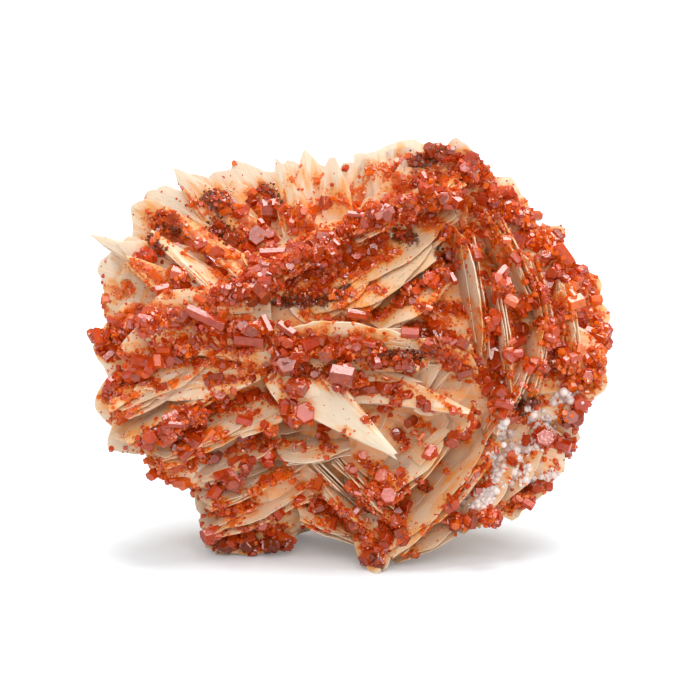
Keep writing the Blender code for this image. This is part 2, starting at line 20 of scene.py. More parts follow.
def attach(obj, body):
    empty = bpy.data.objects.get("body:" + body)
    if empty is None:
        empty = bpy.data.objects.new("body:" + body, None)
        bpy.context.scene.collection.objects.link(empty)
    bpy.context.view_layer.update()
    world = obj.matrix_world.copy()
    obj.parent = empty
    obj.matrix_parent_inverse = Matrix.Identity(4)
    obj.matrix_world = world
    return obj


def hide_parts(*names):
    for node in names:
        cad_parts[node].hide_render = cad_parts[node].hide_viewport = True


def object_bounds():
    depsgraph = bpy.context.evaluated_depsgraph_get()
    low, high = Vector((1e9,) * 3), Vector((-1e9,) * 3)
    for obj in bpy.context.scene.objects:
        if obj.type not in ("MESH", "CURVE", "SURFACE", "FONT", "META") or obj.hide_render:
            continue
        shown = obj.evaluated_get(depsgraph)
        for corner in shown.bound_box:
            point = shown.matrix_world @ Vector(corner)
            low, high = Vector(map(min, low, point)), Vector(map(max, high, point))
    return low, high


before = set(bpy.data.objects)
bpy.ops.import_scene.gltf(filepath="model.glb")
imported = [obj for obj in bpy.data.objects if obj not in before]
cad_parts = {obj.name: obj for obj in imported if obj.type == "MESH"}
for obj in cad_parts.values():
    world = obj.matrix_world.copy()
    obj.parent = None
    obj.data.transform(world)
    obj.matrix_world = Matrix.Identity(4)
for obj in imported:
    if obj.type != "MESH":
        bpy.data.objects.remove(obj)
solid_low, solid_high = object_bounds()

MM = 0.001
LEAN = math.radians(12)         # the face of the specimen leans back by this much
GROUND = 2.1                    # height, in the leaned layout, of the plane that the feet stand on
SETBACK = 9.85                  # brings the middle of the specimen's depth over the origin
FAR = 60                        # well outside the specimen
SHARP = math.radians(38)        # edges that bend more than this stay sharp on smooth pieces
UNPAINTED = (0, 0, 0, 0)

# Barite blades: name, root, tip, width, lie of the width (angle in the face, angle out of it),
# point (0 broad rim, 1 lance), and for some the number of copies and the step from one to the next.
BLADES = [
    # the fan of broad blades at the upper left
    ("fan_corner", (-10, 42, 0), (-33.4, 55.2, -4), 12, (59, 12), 0.05),
    ("fan_notch", (-8, 42, -2), (-27.0, 60.8, 0), 8, (44, 10), 0.4),
    ("fan_round", (-6, 42, -1), (-17.9, 62.2, -6), 10, (29, 14), 0.2),
    ("fan_slim", (-5, 42, 0), (-11.4, 62.2, 1), 5.5, (18, 12), 0.25),
    ("fan_crown", (-3, 42, -1), (-7.2, 63.8, -5), 8, (10, 10), 0.25),
    ("fan_tooth", (-1, 42, -2), (-2.9, 62.4, 0), 5, (4, 8), 0.15),
    ("fan_spike", (-24, 44, -1), (-39.8, 50.8, -1), 6.0, (67, 10), 0.8),
    ("fan_low", (-14, 41, 1), (-35.4, 49.4, 0), 8, (69, 12), 0.3),
    ("fan_lance", (-13, 37.5, 8), (-30.2, 50.8, 5), 5.0, (52, -35), 0.7, 2, (2.2, 3.6, -1.0)),
    ("fan_lower_lance", (-17, 36.5, 7), (-34.0, 47.2, 3), 6.5, (57, -30), 0.5),
    # slabs along the top edge
    ("top_slab", (8, 48, -3), (7.4, 65.2, -8), 15, (2, 6), -0.12),
    ("top_right_slab", (15, 47, -2), (16.4, 64.8, -1), 13, (-12, 6), 0.2),
    ("top_pale", (3, 46, -4), (1.6, 62.8, -2), 9, (6, 6), 0.1),
    ("top_diagonal", (9.5, 46, 1), (2.0, 56.0, 4), 17, (38, 10), 0.25, 3, (3.4, 3.4, -1.6)),
    # broad blades that carry the outline round the right side
    ("right_top", (14, 40, -4), (24.4, 59.6, -9), 16, (-30, 5), 0.2),
    ("right_shoulder", (14, 36, -3), (32.0, 51.8, -2), 19, (-50, 5), 0.2),
    ("right_side", (14, 34, -2), (38.2, 43.0, -8), 22, (-70, 5), 0.05),
    ("right_hip", (14, 30, -2), (38.6, 30.4, -1), 18, (-92, 5), 0.15),
    ("right_low", (12, 27, -1), (34.4, 18.6, -6), 13, (-110, 5), 0.2),
    ("right_under", (10, 24, 0), (30.6, 12.4, 0), 16, (-121, 5), 0.05),
    ("right_heel", (8, 22, 1), (20.2, 7.2, -2), 14, (-141, 5), 0.3),
    # broad blades that carry the outline down the left side
    ("left_top", (-20, 40, 0), (-38.6, 45.2, -4), 14, (100, 8), 0.0),
    ("left_side", (-20, 33, 0), (-39.0, 34.6, 2), 14, (95, 8), 0.1),
    ("left_low", (-20, 28, 0), (-38.9, 24.6, -3), 15, (78, 8), 0.15),
    ("left_hem", (-18, 31, 1), (-29.8, 14.6, 3), 25, (-35, 5), 0.1),
    # the long ridge under the fan, and the strips that run up to the right
    ("upper_ridge_left", (-14, 48, -2), (-7.6, 44.4, 10), 21, (21, 5), 0.2),
    ("upper_ridge_right", (7, 57, -3), (9.6, 53.2, 8), 21, (24, 5), 0.2),
    ("strip_high", (4.6, 51.0, -1), (9.4, 46.4, 9), 21, (32, 4), 0.15),
    ("strip_mid", (3.2, 46.6, 2), (7.2, 42.0, 11.5), 18, (33, 4), 0.2),
    ("strip_low", (6.6, 43.4, 4), (11.2, 38.8, 13), 15, (35, 4), 0.2),
    ("strip_left", (-4, 45.0, 1), (0.4, 40.2, 9), 13, (33, 4), 0.2),
    # the middle ridge: a long blade whose bright top edge crosses the face
    ("middle_ridge", (-2.4, 29.0, 6), (-3.6, 38.0, 15), 27, (-5, 0), 0.1),
    ("middle_right", (13.0, 28.6, 6), (11.4, 35.2, 14), 14, (-12, 0), 0.2),
    ("middle_left", (-15, 34.0, 6), (-35.0, 32.8, 6), 11, (86, 10), 0.2, 2, (3, 4.2, 2.4)),
    ("left_slope", (-14, 31.0, 7), (-32.6, 27.2, 7), 8, (75, -20), 0.3),
    # leaves that lean out of the middle
    ("bright_leaf", (-10.4, 34.0, 9), (6.8, 17.0, 16), 7.6, (45, 10), 0.85),
    ("right_leaf", (-1.6, 29.4, 8), (17.4, 24.0, 14), 7.4, (76, -12), 0.8),
    ("upper_leaf", (-2, 32.8, 6), (10.0, 30.4, 13), 4.6, (80, -15), 0.6),
    ("steep_leaf", (11.6, 33.0, 4), (15.6, 30.4, 11), 12, (62, 0), 0.2, 2, (-3.0, -1.6, 0.4)),
    # steep blades of the right dome, rims to the front
    ("dome_edge", (16.6, 41.4, 2), (19.4, 41.2, 14.5), 21, (98, 0), 0.2),
    ("dome_inner", (21.0, 36.6, 1), (23.0, 36.0, 13.5), 15, (100, 0), 0.2),
    ("dome_upper", (22.0, 47.0, -1), (25.0, 46.6, 11), 15, (116, 0), 0.2),
    ("dome_outer", (26.2, 41.0, -1), (29.4, 40.6, 8.5), 15, (108, 0), 0.2),
    ("dome_lower", (25.6, 31.0, 0), (28.6, 30.2, 10), 15, (82, 0), 0.2),
    ("dome_rim", (30.6, 36.4, -3), (34.0, 36.0, 4.5), 16, (95, 0), 0.2),
    ("dome_foot", (22.4, 26.8, 1), (24.6, 25.2, 11.5), 13, (66, 0), 0.2),
    # the open book of blades at the lower right
    ("book_wide", (9.2, 14.4, 0), (15.0, 10.2, 10), 26, (47, 0), 0.1),
    ("book_second", (6.8, 19.0, 3), (11.8, 15.6, 13), 17, (49, 0), 0.25),
    ("book_small", (14.2, 23.6, 5), (17.6, 21.8, 13), 8, (52, 0), 0.2),
    ("book_heel", (9.0, 8.6, -1), (12.4, 3.4, 7), 16, (24, 0), 0.2),
    ("book_outer", (17.0, 14.0, 0), (22.6, 10.8, 7), 17, (50, 0), 0.25, 2, (4.6, 3.0, -2.4)),
    # shingled rows of the lower left
    ("row_high", (-29.0, 31.0, 1), (-26.0, 26.8, 10), 20, (28, 0), 0.15),
    ("row_mid", (-28.0, 26.6, 0), (-25.0, 22.4, 10), 21, (28, 0), 0.15),
    ("row_low", (-22.0, 24.4, 0), (-19.2, 19.6, 9.5), 21, (27, 0), 0.15),
    ("row_inner", (-13.0, 26.4, 2), (-10.4, 22.4, 11), 14, (25, 0), 0.2),
    # the block that stands on the left foot
    ("block_top", (-18.4, 19.4, -1), (-15.6, 15.4, 8), 15, (27, 0), 0.15),
    ("block_mid", (-16.0, 16.0, -2), (-13.2, 11.8, 7.5), 18, (25, 0), 0.15),
    ("block_low", (-15.4, 12.0, -3), (-12.6, 7.8, 6), 20, (22, 0), 0.15),
    ("block_sole", (-15.6, 9.0, -6), (-15.4, 2.1, 0.4), 15, (3, 0), 0.1),
    ("block_side", (-12, 11.6, -3), (-23.6, 9.0, -2), 13.6, (97, 6), 0.0),
    ("block_ledge", (-6.4, 20.4, 3), (-4.8, 16.4, 12), 11, (8, 0), 0.2),
    # small blades that run down to the front foot
    ("keel_high", (-4.6, 15.6, 2), (-2.0, 13.0, 10), 9, (-46, 0), 0.25, 2, (3.2, 0.4, 0.4)),
    ("keel_mid", (0.2, 10.6, 1), (0.0, 7.6, 10), 13, (-44, 0), 0.25, 2, (3.8, 1.4, 0.6)),
    ("keel_low", (-3.4, 9.0, -2), (-3.0, 5.4, 7), 12, (-22, 0), 0.2),
    ("keel_foot", (2.2, 12, 2), (3.9, -0.9, 9.6), 7, (0, 30), 0.3),
    # the back: slabs that step down it, and the two feet that it stands on
    ("back_crown", (-4, 50, -4), (-7, 59.0, -11), 24, (8, 0), 0.2),
    ("back_high", (9, 46, -5), (14, 56.0, -16), 24, (-24, 0), 0.2),
    ("back_shoulder", (-14, 42, -4), (-26, 51.0, -12), 20, (42, 0), 0.2),
    ("back_upper_slab", (-2, 44, -5), (-4, 49.0, -21), 28, (10, 0), 0.15),
    ("back_middle_slab", (2, 38, -6), (0, 39.0, -24), 30, (-6, 0), 0.15),
    ("back_left_slab", (-18, 36, -4), (-27, 37.0, -17), 20, (70, 0), 0.2, 2, (-6.6, -1.0, 3.4)),
    ("back_right_slab", (20, 38, -4), (28, 41.0, -15), 20, (-66, 0), 0.2, 2, (5.6, -5.0, 3.0)),
    ("back_low_slab", (0, 31, -6), (-2, 29.0, -23), 28, (12, 0), 0.2),
    ("back_low_right", (14, 27, -5), (20, 22.4, -18), 20, (-34, 0), 0.2),
    ("back_low_left", (-16, 26, -4), (-23, 21.4, -15), 20, (30, 0), 0.2),
    ("back_hem", (2, 21, -6), (2, 16.4, -20), 22, (-6, 0), 0.2),
    ("back_foot", (6.0, 16, -8), (9.0, 4.4, -18), 13, (0, 0), 0.15),
    ("back_heel", (-9.0, 15, -7), (-12.0, 4.2, -14), 11, (0, 10), 0.15),
]

# The body that the blades grow from: centre and radii of its lobes.
LOBES = [
    ((1, 36, -6), (27, 19, 13)),
    ((13, 32, -4), (18, 17, 13)),
    ((-13, 13, -4), (8.5, 10, 8)),
    ((0, 19, -5), (13, 13, 12)),
    ((-21, 33, -4), (14, 14, 11)),
]

# Finer blades that only the looks have, in the same columns: they fill the fan behind its teeth,
# widen the bright leaf and round off the lower left corner.
FINE_BLADES = [
    ("fan_fill", (-14, 43, -3), (-31.2, 57.2, -5), 9, (54, 12), 0.1),
    ("fan_fill", (-11, 44, -3), (-24.6, 60.0, -3), 8, (42, 12), 0.2),
    ("fan_fill", (-9, 44, -4), (-21.4, 60.0, -6), 9, (36, 12), 0.1),
    ("fan_fill", (-6, 44, -4), (-14.6, 60.8, -6), 9, (24, 12), 0.1),
    ("fan_fill", (-4, 44, -4), (-9.8, 62.2, -6), 8, (14, 10), 0.1),
    ("fan_fill", (-2, 44, -4), (-5.0, 61.6, -6), 8, (6, 10), 0.1),
    ("fan_fill", (0, 44, -5), (-0.6, 61.8, -6), 8, (0, 8), 0.1),
    ("fan_fill", (-14, 44, -3), (-33.6, 54.8, -4), 4.0, (59, 12), -0.1),
    ("bright_fill", (-11.4, 30.6, 9.4), (6.6, 17.8, 16.2), 8.8, (54, 6), 0.75),
    ("left_corner", (-22, 28, 0), (-37.0, 18.8, 0), 8, (125, 8), 0.1),
    ("left_corner", (-22, 29, 2), (-36.4, 20.4, 2), 9, (122, 8), 0.1),
]

# Ways to look at the specimen from, in the layout.
SIDES = {
    "front": Vector((0, 0, 1)),
    "back": Vector((0, 0, -1)),
    "right": Vector((1, 0, 0)),
    "left": Vector((-1, 0, 0)),
    "top": Vector((0, 1, 0)),
    "under": Vector((0, -1, 0)),
}

# Bands of large vanadinite: name, side it is seen from, line that it follows (front and back: x and v;
# right and left: d and v; top and under: x and d), crystals, their radii, spread to either side.
BANDS = [
    ("fan_hub", "front", [(-14.0, 55.4), (-12.4, 50.6), (-11.4, 47.2)], 4, (1.5, 2.0), 0.3),
    ("fan_spot_high", "front", [(-20.9, 56.6), (-19.4, 55.8)], 2, (1.2, 1.5), 0.3),
    ("fan_spot_left", "front", [(-29.2, 52.9), (-26.6, 52.3)], 2, (1.2, 1.5), 0.3),
    ("fan_spot_low", "front", [(-21.8, 52.4), (-17.4, 49.2)], 2, (1.3, 1.6), 0.3),
    ("fan_edge", "front", [(-32.0, 48.2), (-27.4, 45.2), (-24.2, 41.2)], 3, (1.4, 1.8), 0.3),
    ("upper_ridge", "front",
     [(-20.7, 40.8), (-15.4, 43), (-7.9, 46.5), (-0.3, 50.6), (7.2, 53.6), (14.8, 56.6), (19.3, 60.4)],
     16, (1.6, 2.2), 0.3),
    ("top_edge", "front", [(5.6, 60.6), (12.6, 62.4), (18.4, 60.6), (21.6, 56.6)], 5, (1.5, 2.0), 0.3),
    ("middle_ridge", "front",
     [(-38.2, 34), (-33.5, 37), (-26, 38), (-18.4, 36.5), (-12.4, 35), (-6.3, 34.2), (-0.3, 33.6), (8.2, 33)],
     16, (1.7, 2.3), 0.3),
    ("left_slope", "front", [(-36.8, 28.4), (-30.6, 31.4), (-22.8, 33.6)], 4, (1.5, 1.9), 0.3),
    ("row_high", "front", [(-32, 20.2), (-25.2, 22), (-17, 26.4)], 6, (1.5, 2.0), 0.3),
    ("row_low", "front", [(-29, 16.8), (-20.6, 17), (-13.6, 21), (-7.8, 25)], 6, (1.4, 1.8), 0.3),
    ("block_high", "front", [(-22.4, 12.4), (-15.4, 15.8), (-11.6, 17.6)], 4, (1.3, 1.7), 0.3),
    ("block_low", "front", [(-21.0, 7.8), (-14.2, 10)], 3, (1.3, 1.7), 0.3),
    ("left_foot", "front", [(-22.4, 4.2), (-17, 4.0), (-9.0, 4.4)], 5, (1.6, 2.0), 0.3),
    ("leaf_left", "front", [(-9.4, 31.4), (-9.0, 31.6)], 1, (2.0, 2.1), 0.1),
    ("leaf_corner", "front", [(-7.2, 27.8), (-7.0, 27.9)], 1, (1.7, 1.8), 0.1),
    ("leaf_flat", "front", [(-7.9, 23.8), (-7.8, 23.9)], 1, (1.7, 1.8), 0.1),
    ("leaf_right", "front", [(-1.2, 29.6), (1.4, 28.2)], 2, (1.8, 2.1), 0.2),
    ("outer_side", "front", [(38.0, 35.2), (38.0, 35.3)], 1, (1.8, 1.9), 0.1),
    ("outer_corner", "front", [(32.4, 19.0), (32.4, 19.1)], 1, (2.0, 2.1), 0.1),
    ("strip_left", "front", [(6.4, 40), (11, 42.8), (15.6, 46)], 3, (1.3, 1.6), 0.3),
    ("strip_right", "front", [(8, 37.6), (13, 36.2), (17.8, 34)], 4, (1.6, 2.0), 0.4),
    ("right_leaf", "front", [(6.0, 27.0), (11.8, 24.0)], 2, (1.1, 1.4), 0.3),
    ("dome_top", "front", [(22.4, 57.4), (25.4, 52.6), (23.2, 48.4)], 4, (1.6, 2.1), 0.4),
    ("dome_high", "front", [(24, 50), (28.4, 48.4), (33.8, 43.8), (36.4, 37.8)], 7, (1.6, 2.2), 0.4),
    ("dome_inner", "front", [(22, 46), (22.4, 40.8), (21.6, 36), (20, 30.2)], 5, (1.6, 2.1), 0.4),
    ("dome_middle", "front", [(26.9, 41), (28.6, 36.4), (31.4, 33.2), (33, 27)], 6, (1.7, 2.2), 0.5),
    ("dome_low", "front", [(36.2, 32.4), (35.2, 26), (32, 22.4)], 4, (1.6, 2.1), 0.4),
    ("cliff", "front", [(17.8, 30), (21, 25.8), (26.4, 22)], 3, (1.5, 2.0), 0.4),
    ("book_edge", "front", [(15.0, 6.4), (22.4, 9), (28.6, 13.6)], 5, (1.5, 2.0), 0.3),
    ("keel", "front", [(-6.2, 9.8), (-0.3, 6.4), (3.6, 3.4)], 4, (1.4, 1.9), 0.3),
    ("keel_side", "front", [(-0.8, 16), (4.6, 9.6)], 2, (1.3, 1.6), 0.3),
    ("right_flank", "right", [(-9, 46), (-8, 36), (-9, 26)], 4, (1.6, 2.1), 0.8),
    ("left_flank", "left", [(-6, 45), (-5, 26)], 3, (1.6, 2.1), 0.8),
    ("top_flank", "top", [(-18, -7), (-2, -9), (14, -8), (22, -7)], 4, (1.5, 2.0), 0.6),
    ("back_ridge", "back", [(12, 52), (-6, 50), (-20, 44)], 4, (1.6, 2.1), 0.5),
]

# Each piece of crystals, and the starts of the names of the bands that it holds.
GROUPS = {
    "fan_crystals": ("fan",),
    "upper_ridge_crystals": ("upper_ridge", "top"),
    "middle_ridge_crystals": ("middle_ridge", "left_slope", "left_flank"),
    "lower_left_crystals": ("row", "block", "left_foot"),
    "leaf_crystals": ("leaf", "strip", "right_leaf", "keel"),
    "dome_crystals": ("dome", "cliff", "outer", "right_flank", "book"),
    "back_crystals": ("back",),
}

# Crusts of smaller crystals on the front: line (x and v), reach to either side, how thickly they
# grow (0 to 1), tone (0 orange and small, 1 deep red).
CRUSTS = {
    "fan_crystals": [
        ([(-21.2, 56.6), (-18.8, 55.4)], 1.9, 1.0, 0.95), ([(-13.7, 58.2), (-13.0, 56.8)], 1.3, 1.0, 0.95),
        ([(-28.8, 53.4), (-26.6, 52.6)], 2.0, 1.0, 0.95), ([(-20.6, 52.4), (-17.4, 49.8)], 1.5, 1.0, 0.95),
        ([(-30.6, 50.6), (-28.4, 47.8)], 1.2, 0.9, 1.0),
        ([(-15.4, 56.6), (-13.6, 54), (-13.8, 50.6)], 1.8, 0.8, 0.6),
        ([(-25.4, 51.8), (-20.6, 47.8), (-17.0, 47)], 1.8, 0.6, 0.4),
        ([(-20.8, 45.8), (-18.4, 43.2)], 1.7, 0.8, 0.4),
        ([(-32.8, 46.8), (-29.6, 43.8), (-26.6, 41.2)], 1.8, 0.8, 0.5),
        ([(-27.2, 44.8), (-25.2, 43.8)], 1.6, 0.8, 0.4), ([(-36.4, 42.0), (-35.2, 41.4)], 0.9, 0.6, 0.3),
        ([(-6.8, 54.4), (-2.4, 56.2)], 1.5, 0.7, 0.3), ([(-9.8, 57.0), (-7.6, 61.6)], 0.4, 0.5, 0.0),
        ([(-6.4, 55.8), (-4.6, 59.8)], 0.6, 0.5, 0.0), ([(-24.8, 56.2), (-23.0, 55.0)], 1.0, 0.5, 0.0),
        ([(-12.8, 47.2), (-8.6, 47.0)], 1.8, 0.9, 0.6),
        ([(-12.4, 55.4), (-8.6, 52.8), (-5.2, 51.2)], 2.6, 1.0, 0.6),
        ([(-24.4, 55.6), (-20.0, 54.6), (-16.0, 53.6)], 1.4, 0.7, 0.5),
        ([(-30.4, 52.0), (-26.4, 50.0), (-22.8, 48.4)], 1.6, 0.8, 0.5),
        ([(-16.6, 52.0), (-15.6, 48.0), (-14.4, 46.0)], 1.8, 1.0, 0.6),
        ([(-38.0, 40.8), (-36.8, 37.6)], 0.8, 0.7, 0.3), ([(-31.0, 52.4), (-24.6, 53.4)], 1.2, 0.5, 0.5),
        ([(-34.4, 43.4), (-32.6, 41.6)], 1.3, 0.5, 0.5),
    ],
    "upper_ridge_crystals": [
        ([(-21.8, 40.4), (-15, 43.6), (-9.6, 45.8), (-5.6, 48.6), (-1.6, 51)], 2.6, 1.0, 0.75),
        ([(-1.6, 51), (4.4, 52.8), (9.4, 55.2), (15.8, 56.2)], 2.2, 1.0, 0.65),
        ([(-2.8, 47.4), (1.4, 47.6), (5.0, 50.0)], 2.6, 1.0, 0.85),
        ([(-8.2, 41.4), (-4.4, 42.6)], 1.3, 0.9, 0.8),
        ([(7.2, 57.4), (12.6, 59.6), (20.2, 58.6)], 1.6, 0.9, 0.6),
        ([(9.4, 61.8), (14.6, 63.0)], 1.7, 1.0, 1.0),
        ([(15.6, 62.4), (19.2, 61.4), (21.6, 59.0)], 1.8, 1.0, 0.7),
        ([(-0.8, 57.6), (2.6, 57.2)], 1.1, 0.25, 0.2), ([(4.4, 60.2), (6.6, 59.2)], 1.2, 0.6, 0.3),
        ([(-2.6, 56.2), (0.6, 55.0), (3.6, 55.2)], 1.2, 0.35, 0.3),
        ([(11.0, 53.0), (14.4, 51.4)], 1.7, 1.0, 0.6),
        ([(-18.4, 41.2), (-12.0, 42.4), (-6.6, 44.6), (-3.6, 46.4)], 2.4, 1.0, 0.8),
        ([(-7.6, 38.6), (-2.6, 37.6), (1.6, 38.0)], 0.8, 0.6, 0.4),
        ([(8.2, 52.4), (10.4, 55.2)], 2.2, 1.0, 0.7), ([(2.6, 60.2), (8.6, 62.6)], 1.2, 0.5, 0.1),
        ([(1.0, 54.0), (6.4, 56.4)], 1.2, 0.3, 0.2),
        ([(-4.6, 43.6), (1.6, 45.6), (7.0, 48.0)], 1.4, 1.0, 0.6),
        ([(13.4, 50.4), (18.8, 51.8)], 1.6, 1.0, 0.6),
    ],
    "middle_ridge_crystals": [
        ([(-38.4, 34.4), (-34.6, 37.4), (-29.6, 38.8)], 2.3, 1.0, 0.75),
        ([(-34.0, 37.0), (-26, 38.2), (-18.6, 36.6), (-12.4, 35.0)], 3.2, 1.0, 0.6),
        ([(-12.4, 35.0), (-6.3, 34.2), (-0.3, 33.8), (4.2, 34.2)], 2.6, 1.0, 0.6),
        ([(-30, 34.4), (-22, 34.0), (-15, 33.0)], 1.8, 0.9, 0.7),
        ([(-36.4, 28.2), (-30.8, 31.2), (-24.6, 33.2)], 2.2, 1.0, 0.5),
        ([(-29.4, 27.4), (-22.8, 29.6)], 0.6, 0.5, 0.1), ([(-15.0, 31.6), (-11.0, 28.6)], 1.0, 0.7, 0.5),
        ([(-37.4, 25.6), (-33.6, 28.2), (-30.0, 30.2)], 2.2, 1.0, 0.5),
        ([(-36.6, 22.8), (-31.6, 24.8)], 1.3, 0.9, 0.3),
        ([(-27.2, 31.8), (-20.6, 31.4), (-14.2, 30.2)], 1.8, 1.0, 0.6),
        ([(-37.6, 33.2), (-32.4, 32.2)], 1.6, 1.0, 0.6),
    ],
    "lower_left_crystals": [
        ([(-30.8, 20.0), (-25.6, 22.4), (-19.0, 25.6)], 2.5, 1.0, 0.6),
        ([(-35.2, 17.4), (-29.6, 16.4), (-23.0, 15.6)], 0.9, 1.0, 0.1),
        ([(-31.6, 15.6), (-27.0, 13.6), (-23.4, 12.4)], 1.1, 1.0, 0.3),
        ([(-26.6, 18.8), (-21.6, 17.6)], 1.6, 0.8, 0.4),
        ([(-17.4, 26.6), (-12.4, 26.0), (-9.8, 24.4)], 1.4, 0.9, 0.5),
        ([(-19.0, 17.6), (-14.6, 19.6), (-11.0, 21.8)], 1.0, 0.9, 0.3),
        ([(-21.2, 11.8), (-18.0, 14.0), (-16.6, 12.8)], 1.6, 1.0, 0.5),
        ([(-14.6, 12.2), (-11.4, 14.6), (-8.8, 15.0)], 1.5, 0.8, 0.2),
        ([(-21.4, 8.4), (-14.2, 10.0)], 1.2, 0.8, 0.4), ([(-12.6, 7.8), (-7.6, 10.8)], 1.0, 0.5, 0.3),
        ([(-22.2, 5.4), (-18.6, 3.8)], 1.7, 1.0, 0.8), ([(-17.6, 3.6), (-9.0, 4.0)], 1.4, 1.0, 0.8),
        ([(-7.6, 6.2), (-3.6, 7.6)], 0.9, 0.8, 0.2),
        ([(-27.0, 24.6), (-20.6, 24.4), (-13.6, 24.0)], 1.1, 0.7, 0.5),
        ([(-26.4, 20.4), (-18.6, 20.6)], 1.6, 0.9, 0.4), ([(-20.6, 10.6), (-17.0, 8.2)], 1.4, 1.0, 0.4),
        ([(-8.6, 26.0), (-8.2, 21.4)], 0.8, 0.6, 0.5), ([(-32.4, 29.4), (-28.0, 27.6)], 1.2, 0.9, 0.5),
        ([(-22.0, 28.6), (-14.6, 29.0)], 1.1, 0.8, 0.6),
        ([(-15.6, 18.2), (-9.6, 19.4), (-3.6, 17.8)], 1.2, 0.4, 0.5),
        ([(-18.0, 6.4), (-9.6, 6.8)], 1.1, 0.5, 0.6),
    ],
    "leaf_crystals": [
        ([(-12.4, 30.4), (-11.8, 30.6)], 1.6, 0.9, 0.8), ([(-9.4, 27.2), (-8.6, 27.4)], 1.4, 0.8, 0.6),
        ([(-4.8, 20.4), (-2.8, 18.0)], 1.2, 0.9, 0.7), ([(-3.0, 30.0), (-0.8, 29.4)], 1.9, 0.9, 0.7),
        ([(1.6, 23.4), (3.0, 22.8)], 1.1, 0.6, 0.6), ([(4.6, 24.0), (7.6, 26.8)], 1.2, 0.7, 0.5),
        ([(7.6, 30.4), (9.4, 30.2)], 1.4, 0.9, 0.8),
        ([(9.4, 39.8), (13.0, 39.4), (16.8, 38.8)], 1.8, 0.9, 0.5),
        ([(8.6, 36.2), (12.4, 35.6), (16.4, 34.4)], 1.9, 1.0, 0.6),
        ([(0.8, 38.6), (5.0, 38.6), (7.4, 40.6), (10.2, 42.6), (12.6, 45.4), (14.8, 47.6), (18.4, 50.6)],
         1.3, 0.9, 0.5),
        ([(3.6, 42.0), (5.0, 41.8)], 1.2, 0.7, 0.4), ([(-2.2, 39.8), (-0.8, 40.0)], 1.0, 0.6, 0.1),
        ([(6.2, 21.2), (8.6, 18.6)], 1.3, 0.8, 0.7), ([(9.0, 22.8), (12.4, 21.2)], 0.9, 0.7, 0.3),
        ([(-5.8, 9.8), (-1.4, 9.0), (3.4, 4.2)], 2.3, 1.0, 0.6),
        ([(2.0, 13.0), (7.2, 11.0)], 1.3, 0.9, 0.5), ([(-8.0, 12.4), (-3.0, 13.6)], 0.9, 0.7, 0.2),
        ([(3.0, 14.8), (6.0, 14.4)], 0.9, 0.6, 0.1), ([(6.2, 8.2), (8.0, 5.8)], 0.8, 0.6, 0.3),
        ([(1.8, 2.8), (4.6, 1.4)], 1.5, 1.0, 0.9),
        ([(-2.0, 27.8), (3.0, 27.4), (7.4, 28.0)], 1.5, 0.9, 0.6),
        ([(10.8, 34.4), (13.6, 32.8), (16.4, 29.6)], 2.3, 1.0, 0.7),
        ([(4.6, 11.6), (5.2, 6.0), (4.8, 3.0)], 1.6, 1.0, 0.7),
        ([(-1.4, 22.0), (-0.8, 19.8)], 0.8, 0.3, 0.6), ([(10.6, 27.6), (14.6, 25.8)], 0.8, 0.25, 0.4),
        ([(0.8, 17.2), (4.0, 15.2)], 1.2, 0.9, 0.4), ([(7.2, 15.4), (8.0, 9.4), (7.4, 4.8)], 1.3, 1.0, 0.5),
        ([(13.0, 9.4), (16.4, 12.2), (19.6, 16.0)], 0.9, 0.8, 0.5),
        ([(3.6, 14.0), (6.6, 11.4), (6.2, 6.0)], 1.4, 0.9, 0.5),
        ([(10.0, 13.8), (11.8, 12.4)], 1.0, 0.9, 0.8),
        ([(9.0, 21.0), (12.2, 17.4), (14.8, 14.6)], 0.7, 0.7, 0.2),
        ([(-5.6, 42.6), (-1.0, 41.4), (3.6, 42.6)], 0.9, 0.7, 0.4),
        ([(0.4, 32.2), (5.4, 31.4), (10.2, 31.2)], 1.3, 1.0, 0.7),
        ([(12.4, 42.6), (15.8, 46.6)], 1.4, 1.0, 0.6), ([(-0.6, 13.4), (3.6, 9.0)], 1.4, 0.6, 0.6),
        ([(17.9, 25.7), (18.2, 22.1), (14.3, 19.8)], 0.8, 0.7, 0.6),
        ([(-7.4, 30.6), (-3.6, 29.4)], 1.3, 1.0, 0.8),
    ],
    "dome_crystals": [
        ([(18.8, 55.8), (22.6, 55.4), (26.4, 53.6)], 2.3, 1.0, 0.6),
        ([(20.2, 51.0), (23.4, 48.6)], 1.9, 0.9, 0.2),
        ([(25.8, 53.4), (28.4, 50.8), (31.4, 47.8)], 2.2, 1.0, 0.3),
        ([(30.6, 49.4), (34.6, 45.6), (37.0, 40.4)], 1.9, 1.0, 0.5),
        ([(36.8, 39.6), (37.6, 33.6), (37.0, 29.6), (36.4, 26.4)], 1.8, 1.0, 0.4),
        ([(18.8, 44.6), (22.8, 41.8)], 1.8, 0.9, 0.6),
        ([(26.4, 44.4), (29.0, 41.8), (31.6, 38.6)], 2.3, 1.0, 0.75),
        ([(19.8, 41.0), (20.0, 34.4)], 1.0, 0.9, 0.7),
        ([(24.0, 41.4), (24.6, 36.8), (23.4, 31.6)], 1.5, 0.9, 0.5),
        ([(28.4, 37.4), (31.0, 33.4), (33.4, 29.6)], 2.4, 1.0, 0.45),
        ([(18.0, 32.6), (20.6, 28.4), (23.6, 25.4)], 2.2, 1.0, 0.7),
        ([(33.8, 34.4), (33.2, 26.8)], 1.8, 0.8, 0.4), ([(26.4, 27.8), (29.4, 25.2)], 1.3, 0.7, 0.5),
        ([(22.8, 23.8), (27.6, 21.8)], 1.1, 0.6, 0.5), ([(31.2, 24.8), (32.0, 22.4)], 1.3, 0.8, 0.3),
        ([(29.2, 20.8), (33.6, 18.4)], 1.3, 0.6, 0.6),
        ([(19.6, 18.0), (20.6, 14.2), (18.0, 11.4)], 1.3, 0.7, 0.5),
